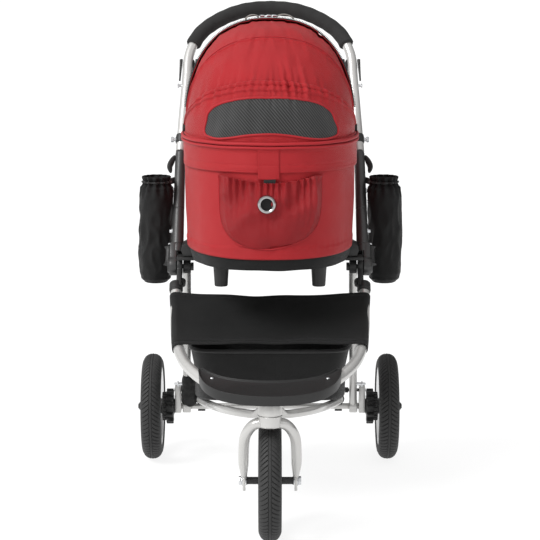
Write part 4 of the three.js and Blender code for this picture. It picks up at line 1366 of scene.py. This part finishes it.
rows = [stitch_row(on_wall(HEM_TOP_Z - below, 0.0002)) for below in (0.0035, 0.0095)]
for edge in (0.90, 0.12):
    path = [band_shape(k / 240, edge, overlap, overlap + 1.0, 0.0001) for k in range(241)]
    rows.append(stitch_row(path))
for across in (0.06, 0.94):
    path = [band_shape(across, 0.08 + 1.10 * k / 20, overlap - 0.002, placket_end,
                       0.0026 - 0.0012 * across) for k in range(21)]
    rows.append(stitch_row(path, 0.0036))
count(piece("cot_stitches", joined(*rows), red_trim, "cot", crease=0))

# %% [markdown]
# ## Base and mattress
# Under the wall is a shallow tray covered in black cloth, a little uneven below, with two moulded
# ears that sit on the chassis and four tapered feet.

# %% Base tray, ears and feet
FOOT_LOW_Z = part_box("cot_base")[0].z
TRAY_LOW_Z = 0.500
TRAY_EDGE = 0.006  # radius of its lower edge
SIDE_END, EDGE_END = 0.45, 0.60  # the shares of the sheet where the side and the edge end


def tray_shape(s, t):
    """From under the wall, down the side, round the lower edge and in to the middle."""
    share = s + 0.25
    point, outward = outline_at(share)
    top_z = WALL_LOW.z + 0.004
    if t < SIDE_END:
        z = top_z + (TRAY_LOW_Z + TRAY_EDGE - top_z) * t / SIDE_END
        inward = 0.0072 + 0.004 * (t / SIDE_END) ** 2
    else:
        turn = min(1.0, (t - SIDE_END) / (EDGE_END - SIDE_END)) * math.pi / 2
        z = TRAY_LOW_Z + TRAY_EDGE - TRAY_EDGE * math.sin(turn)
        inward = 0.0112 + TRAY_EDGE * (1 - math.cos(turn))
    shrink = 1 - max(0.0, t - EDGE_END) / (1 - EDGE_END)
    x, y = (point.x - outward.x * inward) * shrink, (point.y - outward.y * inward) * shrink
    bulge = 0.0016 * soft(x, y, z, 24, 11) * min(1, t * 4)
    lumps = 0.0014 * soft(x, y, 0, 19, 6) if t > 0.5 else 0.0
    return Vector((x + outward.x * bulge, y + HOOD.y + outward.y * bulge, z + lumps))


tray = piece("base_tray", cloth(200, 44, tray_shape, (PERIMETER, 0.26), (0, HOOD.y, 0.512)),
             black_cloth, "cot", ["cot_base"], crease=0)
feet = []
for x in (-0.095, 0.095):
    for y in (-0.130, 0.130):
        feet.append(lathe([(FOOT_LOW_Z, 0), (FOOT_LOW_Z, 0.0118), (FOOT_LOW_Z + 0.0015, 0.0129),
                           (0.497, 0.0152), (0.500, 0.0175), (0.503, 0.0175), (0.503, 0)],
                          (x, y + HOOD.y, 0), (0, 0, 1), 36))
foot_set = piece("cot_feet", joined(*feet), plastic, "cot")
ears = []
for _, side in SIDES:
    outline = [(0.130, 0.5225), (0.168, 0.5235), (0.1765, 0.519), (0.178, 0.508), (0.174, 0.4972),
               (0.152, 0.4972), (0.146, 0.501), (0.130, 0.502)]
    place = (Matrix.Diagonal((side, 1, 1, 1)) @ Matrix.Translation((0, FOLD.y + 0.028, 0))
             @ Matrix.Rotation(math.pi / 2, 4, "X"))
    ears.append(plate(outline, 0.056, place, 0.0016))
    for k in range(4):
        rib_y = FOLD.y - 0.0255 + 0.017 * k
        ears.append(block((0.020, 0.003, 0.0055), (side * 0.158, rib_y, 0.4992), 0.0006))
ear_set = piece("cot_ears", joined(*ears), plastic, "cot")
count(tray, foot_set, ear_set)

# %% [markdown]
# The mattress lies inside, out of sight unless the hood is open. It is the one truly padded piece,
# so it is inflated by a short cloth simulation: a thin slab is remeshed and swells under pressure.


# %% Mattress
def remesh(made, voxel=0.006):
    """Even faces for a closed piece, with the modifier applied."""
    made.modifiers.new("remesh", "REMESH").voxel_size = voxel
    bpy.context.view_layer.update()
    graph = bpy.context.evaluated_depsgraph_get()
    mesh = bpy.data.meshes.new_from_object(made.evaluated_get(graph))
    made.modifiers.clear()
    made.data = mesh


def inflate(made, pressure, cap):
    """Remeshes a closed piece and lets cloth pressure round it, moving no point more than cap."""
    remesh(made)
    before = [v.co.copy() for v in made.data.vertices]
    swell = made.modifiers.new("cloth", "CLOTH")
    swell.settings.use_pressure = True
    swell.settings.uniform_pressure_force = pressure
    swell.settings.effector_weights.gravity = 0
    swell.settings.quality = 4
    for number in range(1, 21):
        scene.frame_set(number)
    after = made.evaluated_get(bpy.context.evaluated_depsgraph_get())
    moved = [v.co.copy() for v in after.data.vertices]
    made.modifiers.clear()
    scene.frame_set(1)
    for vert, old, new in zip(made.data.vertices, before, moved):
        step = new - old
        vert.co = old + step * min(1.0, cap / max(step.length, 1e-9))


PAD_LOW, PAD_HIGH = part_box("cot_mattress")
PAD_SWELL = 0.006  # the pad starts smaller than its space by this much, and swells into it
QUILT_LINES = (-0.075, 0.0, 0.075)
half_x, half_y = PAD_HIGH.x - PAD_SWELL, PAD_HIGH.y - HOOD.y - PAD_SWELL
pad_outline = [(half_x * x, half_y * y) for x, y in (superellipse(k / 48) for k in range(48))]
pad_shape = plate(pad_outline, PAD_HIGH.z - PAD_LOW.z - PAD_SWELL,
                  Matrix.Translation((0, HOOD.y, PAD_LOW.z + PAD_SWELL / 2)), 0.004)
mattress = piece("mattress", pad_shape, black_cloth, None, ["cot_mattress"],
                 crease=0)
inflate(mattress, 3.0, PAD_SWELL)
for vert in mattress.data.vertices:
    for quilt_x in QUILT_LINES:
        if vert.co.z > PAD_LOW.z + 0.012:
            vert.co.z -= 0.003 * math.exp(-((vert.co.x - quilt_x) / 0.005) ** 2)
mattress.data.shade_smooth()
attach(mattress, "cot")
count(mattress)

# %% [markdown]
# ## Hood
# The hood is a dome turned about the line through its two hinges. Hoops hold it open like the ribs
# of a fan at 30, 60 and 90 degrees above the front. Between them the cloth is in panels, and each
# panel here is one curved sheet: s goes from side to side and t goes up the angle.
#
# Where a panel is sewn over a hoop the cloth is fuller than the seam, so it puckers: short ripples
# stand at the seam and die away. They are sines across the panel whose height falls off with the
# angle from the seam, and they are deeper in some stretches than in others.

# %% The dome and its relief
DOME_WIDTH = HALF_WIDTH
DOME_RADIUS = HALF_LENGTH


def dome_point(x, degrees, out=0.0):
    """A point of the dome at that x, that angle above the front, and moved out along the normal."""
    x = max(-DOME_WIDTH, min(DOME_WIDTH, x))
    radius = DOME_RADIUS * super_radius(x / DOME_WIDTH)
    ahead = DOME_RADIUS * super_radius(min(1.0, abs(x) / DOME_WIDTH + 0.01))
    slope = (radius - ahead) / (0.01 * DOME_WIDTH)
    normal = Vector((math.copysign(slope, x) if x else 0.0, 1.0)).normalized()
    x, radius = x + normal.x * out, radius + normal.y * out
    angle = math.radians(degrees)
    return Vector((x, HOOD.y - radius * math.cos(angle), HOOD.z + radius * math.sin(angle)))


def pucker(x, distance, reach, height, pitch, seed):
    """Ripples across x that fade with the distance in degrees from a seam."""
    fade = math.exp(-abs(distance) / reach)
    strength = 0.35 + 0.65 * max(0.0, soft(x, seed, 0, 14, seed)) * 2
    wander = 0.9 * soft(x, distance * 0.01, 0, 30, seed + 3)
    lean = 0.0006 * distance * math.copysign(1, x)
    return height * fade * strength * math.sin((x + lean) * 2 * math.pi / pitch + wander)


def seam_step(degrees, seam, width=0.5):
    """A raised tape, width degrees either side of a seam."""
    return math.exp(-((degrees - seam) / width) ** 6)


def hood_relief(x, degrees):
    pull = 1 - (abs(x) / DOME_WIDTH) ** 6
    lift = 0.0
    for seam, height, seed in ((28.0, 0.0033, 1.0), (60.0, 0.0012, 4.0), (90.0, 0.0010, 7.0)):
        lift += pucker(x, degrees - seam, 5.0, height, 0.0130, seed)
        lift += pucker(x, degrees - seam, 7.5, height * 0.8, 0.021, seed + 1.5)
    billow = 0.0028 * soft(x, degrees * 0.0045, 0, 15, 2)
    crease = 0.0022 * soft(x * 2.2, degrees * 0.0035, 0, 21, 6)
    return (lift + billow + crease) * pull


def tapes(degrees):
    """The double tape over the lowest hoop and the single ones above it."""
    double = 0.0030 * (seam_step(degrees, 26.0, 1.3) + seam_step(degrees, 28.9, 1.1))
    return double + 0.0018 * seam_step(degrees, 59.2, 0.7)


def panel_shape(start, end, inset, edge=0.997):
    def shape(s, t):
        degrees = start + (end - start) * t
        x = -DOME_WIDTH * edge * math.cos(math.pi * s)
        return dome_point(x, degrees, hood_relief(x, degrees) + tapes(degrees) - inset)
    return shape


def panel_area(start, end):
    """Flat area of a panel, and its greatest width and length."""
    steps = 200
    area, width = 0.0, 0.0
    for k in range(steps):
        a, b = (dome_point(-DOME_WIDTH * math.cos(math.pi * (k + i) / steps), 90) for i in (0, 1))
        step = (b - a).length
        width += step
        area += step * (a.z + b.z - 2 * HOOD.z) / 2 * math.radians(end - start)
    return width, DOME_RADIUS * math.radians(end - start), area


def panel(name, start, end, inset, rows, finish, body=None, replaces=(), columns=240):
    width, length, area = panel_area(start, end)
    shape = cloth(columns, rows, panel_shape(start, end, inset), (width, length), HOOD)
    made = piece(name, shape, finish, body, replaces, thick=0.0009, crease=0)
    return made, (width, length, area)


print(f"dome {2 * DOME_WIDTH:.3f} wide, {DOME_RADIUS:.3f} high")

# %% [markdown]
# The lowest panel has the mesh window. Its outline is drawn in the panel's own measures, x across
# and degrees up. Faces inside it take the net finish, and a bound edge lies over the join.

# %% Front panel with its window
NET_PITCH, NET_CROSS_PITCH = 0.0072, 0.0050
WINDOW = [(-0.126, 4.5), (-0.122, 11.0), (-0.1145, 17.0), (-0.096, 20.0), (-0.055, 21.0),
          (0.0, 21.2), (0.055, 21.0), (0.092, 20.2), (0.1145, 17.2), (0.123, 11.0),
          (0.1285, 4.5), (0.1235, 0.8), (0.105, -0.4), (0.075, 0.4), (0.035, 2.2), (0.0, 2.9),
          (-0.045, 2.2), (-0.080, 0.6), (-0.104, 0.0), (-0.1205, 1.2)]


def window_path(steps=10):
    corners = [Vector((x, 0, d / 100)) for x, d in WINDOW]
    path = smooth_path([*corners[-2:], *corners, *corners[:3]], steps)
    return [(p.x, p.z * 100) for p in path[2 * steps:-2 * steps]]


def inside(point, polygon):
    x, y = point
    hits = False
    for (x0, y0), (x1, y1) in zip(polygon, polygon[1:] + polygon[:1]):
        if (y0 > y) != (y1 > y) and x < x0 + (y - y0) * (x1 - x0) / (y1 - y0):
            hits = not hits
    return hits


def net_finish():
    """Knitted mesh: fine threads on both diagonals, holes painted dark for the shade behind."""
    finish = Finish("window_net", Specular_IOR_Level=0.3, Sheen_Weight=0.2)
    split = finish.node("SeparateXYZ", None, {0: finish.place(cloth=True)})
    across = Link(finish, split.socket.node.outputs["X"])
    up = Link(finish, split.socket.node.outputs["Y"])
    first = (across + up).wave(NET_PITCH) * 0.5 + 0.5
    second = (across - up).wave(NET_CROSS_PITCH) * 0.22 + 0.78
    knit = (first * second).math("MAXIMUM", 0.0)
    clouds = finish.noise(9, 4, cloth=True)
    shade = knit * (clouds * 0.9 + 0.45)
    # Painted shade: the holes go near black for the dark inside of the hood seen through the net.
    finish.drive("Base Color", finish.mix(shade, grey(0.006), grey(0.070)))
    finish.drive("Roughness", finish.noise(80, cloth=True) * 0.1 + 0.6)
    finish.bump(knit, 0.0004)
    return finish.material


net = net_finish()
front_panel, (width, length, area) = panel("hood_front", -2.5, 30.0, 0.0, 84, red_cloth,
                                           "hood_low", ["hood_panel_low"], columns=300)
front_panel.data.materials.append(net)
polygon = window_path()
for face in front_panel.data.polygons:
    middle = face.center
    degrees = math.degrees(math.atan2(middle.z - HOOD.z, HOOD.y - middle.y))
    face.material_index = 1 if inside((middle.x, degrees), polygon) else 0

binding_path = [dome_point(x, d, hood_relief(x, d) + tapes(d) + 0.0004) for x, d in polygon]
binding = hoop_tube([*binding_path, binding_path[0]], 0.0022, 12)
count(front_panel, piece("window_binding", binding, red_trim, "hood_low", crease=0))

# %% [markdown]
# The two panels above it join moving hoops. Here each is one fixed sheet that rides on no body.
# The rear panel doesn't move.

# %% Middle, top and rear panels
MID_INSET, TOP_INSET = 0.0032, 0.0052
mid_panel, (width, length, area) = panel("hood_middle", 29.6, 60.2, MID_INSET, 70, red_cloth,
                                         replaces=["hood_panel_mid"])
dome_point(0, 60.2)
dome_point(0, 29.6)
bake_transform(mid_panel)
top_panel, (width, length, area) = panel("hood_crown", 59.8, 91.8, TOP_INSET, 70, red_cloth,
                                         replaces=["hood_panel_top"])
dome_point(0, 90.0)
dome_point(0, 59.8)
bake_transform(top_panel)
rear_panel, (width, length, area) = panel("hood_back", 91.2, 182.5, 0.0, 150, red_cloth, "cot",
                                          ["hood_rear"])
count(mid_panel, top_panel, rear_panel)

# %% [markdown]
# Piping, a zip and its pulls finish the hood. The zip lies just behind the top seam: two black
# tapes, a row of small teeth, three pulls, and two loops of webbing that the cot is carried by.


# %% Piping, zip and loops
ZIP_DEGREES, ZIP_HALF_WIDTH = 92.7, 0.7
LOOP_DEGREES = 94.4


def dome_line(degrees, out, count=160, edge=0.99):
    return [dome_point(-DOME_WIDTH * edge * math.cos(math.pi * k / count), degrees, out)
            for k in range(count + 1)]


zip_tapes = joined(*(tube(dome_line(ZIP_DEGREES + side * ZIP_HALF_WIDTH, 0.0006), 0.0016, 12)
                     for side in (-1, 1)))
teeth = stitch_row(dome_line(ZIP_DEGREES, 0.0034), 0.0031, 0.0019, 0.0011)
count(piece("zip_tapes", zip_tapes, black_webbing, "cot", crease=0),
      piece("zip_teeth", teeth, plastic, "cot", crease=0))
front_piping = tube(dome_line(60.2, MID_INSET * -0.35), 0.0013, 10)
low_piping = tube(dome_line(-2.0, 0.0012), 0.0019, 12)
count(piece("crown_piping", front_piping, red_trim, "hood_mid", crease=0),
      piece("hood_edge_piping", low_piping, red_trim, "hood_low", crease=0))
low_rows = [stitch_row([dome_point(p, d, hood_relief(p, d) + tapes(d) + 0.0001)
                        for p in (-0.160 + 0.320 * k / 200 for k in range(201))])
            for d in (24.4, 27.45, 0.4)]
count(piece("hood_stitches", joined(*low_rows), red_trim, "hood_low", crease=0))

loops = []
for start, end in ((-0.048, -0.022), (0.012, 0.046)):
    arch = [dome_point(start + (end - start) * k / 24, LOOP_DEGREES,
                       0.0030 + 0.0065 * math.sin(math.pi * k / 24) ** 0.6) for k in range(25)]
    loops.append(tube(arch, 0.0052, 14, flat=0.28, up=Vector((0, 0, 1))))
pulls = []
for x in (-0.014, -0.001, 0.010):
    pull_path = [dome_point(x + 0.004 * math.sin(2.4 * k), 93.6 - 0.5 * k, 0.0052) for k in range(4)]
    pulls.append(tube(smooth_path(pull_path, 4), lambda s: 0.0016 + 0.0014 * math.sin(3 * s), 10,
                      flat=0.6))
count(piece("carry_loops", joined(*loops), grey_webbing, "cot", crease=0),
      piece("zip_pulls", joined(*pulls), zinc, "cot"))

# %% [markdown]
# ## Cloth on the chassis
# A black apron is stretched between the side tubes. It wraps round both of them, sags a little in
# between, and its upper edge curves down. One grid again: across it the section is straight and
# then turns round each tube.

# %% Apron
APRON_PATH = [(-0.044, 0.420), (-0.077, 0.394), (-0.117, 0.369), (-0.157, 0.350),
              (-0.183, 0.341)]
APRON_OFF = 0.0135
APRON_TOP_HALF, APRON_LOW_HALF = 0.2005, 0.1895
APRON_WRAP = 0.030
APRON_TOP_HEM, APRON_LOW_HEM = 0.055, 0.90  # shares of its length
apron_line = smooth_path([(0, y, z) for y, z in APRON_PATH], 16)


def apron_shape(s, t):
    place = t * (len(apron_line) - 1)
    k = min(int(place), len(apron_line) - 2)
    here = apron_line[k].lerp(apron_line[k + 1], place - k)
    ahead = (apron_line[k + 1] - apron_line[k]).normalized()
    outward = Vector((0, ahead.z, -ahead.y))
    flat_half = APRON_TOP_HALF + (APRON_LOW_HALF - APRON_TOP_HALF) * t - APRON_OFF
    run = (2 * s - 1) * (flat_half + APRON_WRAP)
    share = max(-1, min(1, run / flat_half))
    over = max(0.0, abs(run) - flat_half)
    turn = over / APRON_OFF
    x = math.copysign(min(abs(run), flat_half) + APRON_OFF * math.sin(turn), run)
    off = APRON_OFF * math.cos(turn)
    middle = 1 - share ** 2
    sag = -0.0055 * middle * math.sin(math.pi * min(1, t * 1.05))
    edge_dip = 0.0095 * middle * (1 - t) ** 3
    tension = 0.0011 * math.sin(9 * share + 5 * t) * middle + 0.0016 * soft(x, t * 0.2, 0, 18, 3)
    hem = 0.0010 if t < APRON_TOP_HEM or t > APRON_LOW_HEM else 0.0
    fold = -0.0022 * math.exp(-((t - 0.885) / 0.018) ** 2)
    return (here + Vector((x, 0, 0)) + outward * (off + sag + hem + fold + tension)
            + ahead * edge_dip)


apron_length = sum((b - a).length for a, b in zip(apron_line, apron_line[1:]))
apron_width = 2 * (APRON_LOW_HALF - APRON_OFF + APRON_WRAP) + 0.011
apron = piece("front_apron", cloth(190, 84, apron_shape, (apron_width, apron_length),
                                   (0, FOLD.y + 0.02, 0.34)),
              black_cloth, "frame", ["front_panel"], thick=0.0014, crease=0)
rows = [stitch_row([apron_shape(k / 200, t) + Vector((0, -0.0004, 0.0003)) for k in range(201)])
        for t in (0.05, 0.905)]
count(apron, piece("apron_stitches", joined(*rows), black_webbing, "frame",
                   crease=0))

# %% [markdown]
# The basket is a tub of thin black cloth slung between the tubes. Its outline is a rounded square
# stretched between the four corners of its mouth and of its floor. The walls hang loose, so they
# crease from corner to corner, and the floor sags under its own weight.

# %% Basket
BASKET_MOUTH = {"front": (0.160, -0.170, 0.335), "rear": (0.157, 0.243, 0.322)}
BASKET_FLOOR = {"front": (0.140, -0.152, 0.234), "rear": (0.166, 0.229, 0.156)}
BASKET_SQUARENESS = 7
WALL_SHARE = 0.62  # the share of the sheet that is wall
CORNER_START, CORNER_DEPTH = 0.86, 0.030  # where the wall turns in, and by what share


def corner_place(corners, a, b):
    """a and b from -1 to 1, across and back, between the corners of the mouth or the floor."""
    share = (b + 1) / 2
    half, y, z = (f + (r - f) * share for f, r in zip(corners["front"], corners["rear"]))
    return Vector((a * half, y, z))


def basket_shape(s, t):
    a, b = superellipse(s, BASKET_SQUARENESS)
    depth = min(1.0, t / WALL_SHARE)
    inward = 1 - max(0.0, (t - WALL_SHARE) / (1 - WALL_SHARE))
    turned_in = max(0.0, (depth - CORNER_START) / (1 - CORNER_START))
    corner = CORNER_DEPTH * (1 - math.sqrt(max(0.0, 1 - turned_in ** 2)))
    mouth, low = corner_place(BASKET_MOUTH, a, b), corner_place(BASKET_FLOOR, a, b)
    point = mouth.lerp(low, depth)
    centre = corner_place(BASKET_FLOOR, 0, 0)
    point = point.lerp(Vector((centre.x, centre.y, point.z)), corner)
    if inward < 1:
        floor_point = corner_place(BASKET_FLOOR, a * inward, b * inward)
        point = floor_point.lerp(point, inward ** 8)
        point.z -= 0.006 * (1 - inward ** 2)
    outward = Vector((a, b, 0)).normalized()
    loose = math.sin(math.pi * depth) if inward == 1 else 0.25
    crease = 0.0060 * soft(point.x, point.y * 0.5, point.z * 1.4, 11, 5)
    crease += 0.0028 * abs(soft(point.x * 1.3, point.y, point.z * 0.7, 30, 9))
    return point + outward * (crease * loose - 0.004 * loose)


basket_round = 2 * (0.30 + 0.40)
basket = piece("basket_tub", cloth(220, 90, basket_shape, (basket_round, 0.30),
                                   (0, 0.04, 0.27)),
               black_cloth, "frame", ["basket"], thick=0.0012, crease=0)
mouth_path = [basket_shape(k / 120, 0.0) for k in range(121)]
mouth_binding = hoop_tube(mouth_path, 0.0035, 12)
count(basket, piece("basket_binding", mouth_binding, black_webbing, "frame",
                    crease=0))

# %% [markdown]
# A cuff of the same cloth ties the basket to the foot of the left leg. It is a rumpled sleeve round
# the leg, a little fuller at its lower end.

# %% The cuff on the left leg
CUFF_SIZE = (0.098, 0.088)
LEFT_TOP, LEFT_FOOT = leg_ends(-1)


def cuff_shape(s, t):
    centre = LEFT_TOP.lerp(LEFT_FOOT, 0.955 - 0.20 * t) + ACROSS * 0.006
    second = (LEFT_FOOT - LEFT_TOP).normalized().cross(ACROSS).normalized()
    c, d = math.cos(2 * math.pi * s), math.sin(2 * math.pi * s)
    wide = 0.0135 + 0.0035 * math.sin(math.pi * t) + 0.004 * (1 - t) ** 2
    return centre + (ACROSS * c + second * d) * (wide + 0.0022 * soft(c, d, t * 5, 1.6, 1))


cuff = piece("leg_cuff_left", cloth(36, 24, cuff_shape, CUFF_SIZE, LEFT_TOP.lerp(LEFT_FOOT, 0.86)),
             black_cloth, "rear_frame", thick=0.0012, crease=0)
count(cuff)

# %% [markdown]
# ## Pouches
# A drawstring pouch hangs outside each sleeve. It is a soft tube of cloth: full in the middle,
# creased on the slant where it hangs from its strap, and drawn in at the mouth into a ruffle.

# %% Drawstring pouches
POUCH_STEPS = [(0.00, 0.000), (0.02, 0.024), (0.06, 0.0315), (0.12, 0.0345), (0.45, 0.0360),
               (0.80, 0.0355), (0.89, 0.0325), (0.925, 0.0270), (0.940, 0.0245), (0.955, 0.0245),
               (0.975, 0.0275), (0.990, 0.0290), (1.0, 0.0275)]


def pouch_radius(t):
    for (t0, r0), (t1, r1) in zip(POUCH_STEPS, POUCH_STEPS[1:]):
        if t <= t1:
            share = (t - t0) / (t1 - t0)
            share = share * share * (3 - 2 * share)
            return r0 + (r1 - r0) * share
    return POUCH_STEPS[-1][1]


def pouch_shape(low, high, side):
    middle = (low + high) / 2

    def shape(s, t):
        angle = 2 * math.pi * s
        z = low.z + (high.z - low.z) * t
        body = math.sin(math.pi * min(1, t / 0.86)) if t < 0.86 else 0.0
        slant = 0.0030 * soft(math.cos(angle), math.sin(angle), t * 3 + s * side, 1.9, side + 6)
        deep = 0.0050 * abs(soft(math.cos(angle) * 1.5, math.sin(angle) * 1.5, t * 4.4, 1.3, side))
        ruffle = max(0.0, 1 - abs(t - 0.93) / 0.14)
        comb = 0.0030 * ruffle * math.sin(15 * angle + 2 * math.sin(2 * angle))
        radius = max(0.0, pouch_radius(t) + (slant - deep) * body + comb)
        sway = 0.0030 * math.sin(3.0 * t + side)
        return Vector((middle.x + radius * math.cos(angle) + sway * t,
                       middle.y + radius * math.sin(angle), z))
    return shape


for name, side in SIDES:
    low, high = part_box(f"pouch_{name}")
    shape = pouch_shape(low, high, side)
    centre = (low + high) / 2
    bag = piece(f"pouch_bag_{name}", cloth(120, 130, shape, (0.195, 0.235), centre), black_cloth,
                "handle", [f"pouch_{name}"], thick=0.0011, crease=0)
    neck = [shape(k / 60, 0.947) for k in range(61)]
    neck = [centre + Vector(((p.x - centre.x) * 1.12, (p.y - centre.y) * 1.12, p.z - centre.z))
            for p in neck]
    cinch = hoop_tube(neck, 0.0019, 10)
    top_strap = [sleeve_point(0.205, 0.0, side), sleeve_point(0.203, 0.012, side),
                 Vector((side * 0.2150, centre.y, high.z - 0.018)),
                 Vector((side * 0.2260, centre.y, high.z - 0.026))]
    strap = tube(smooth_path(top_strap, 6), 0.0065, 14, flat=0.22, up=Vector((0, 1, 0)))
    count(bag, piece(f"pouch_strap_{name}", joined(cinch, strap), black_webbing, "handle",
                     crease=0))
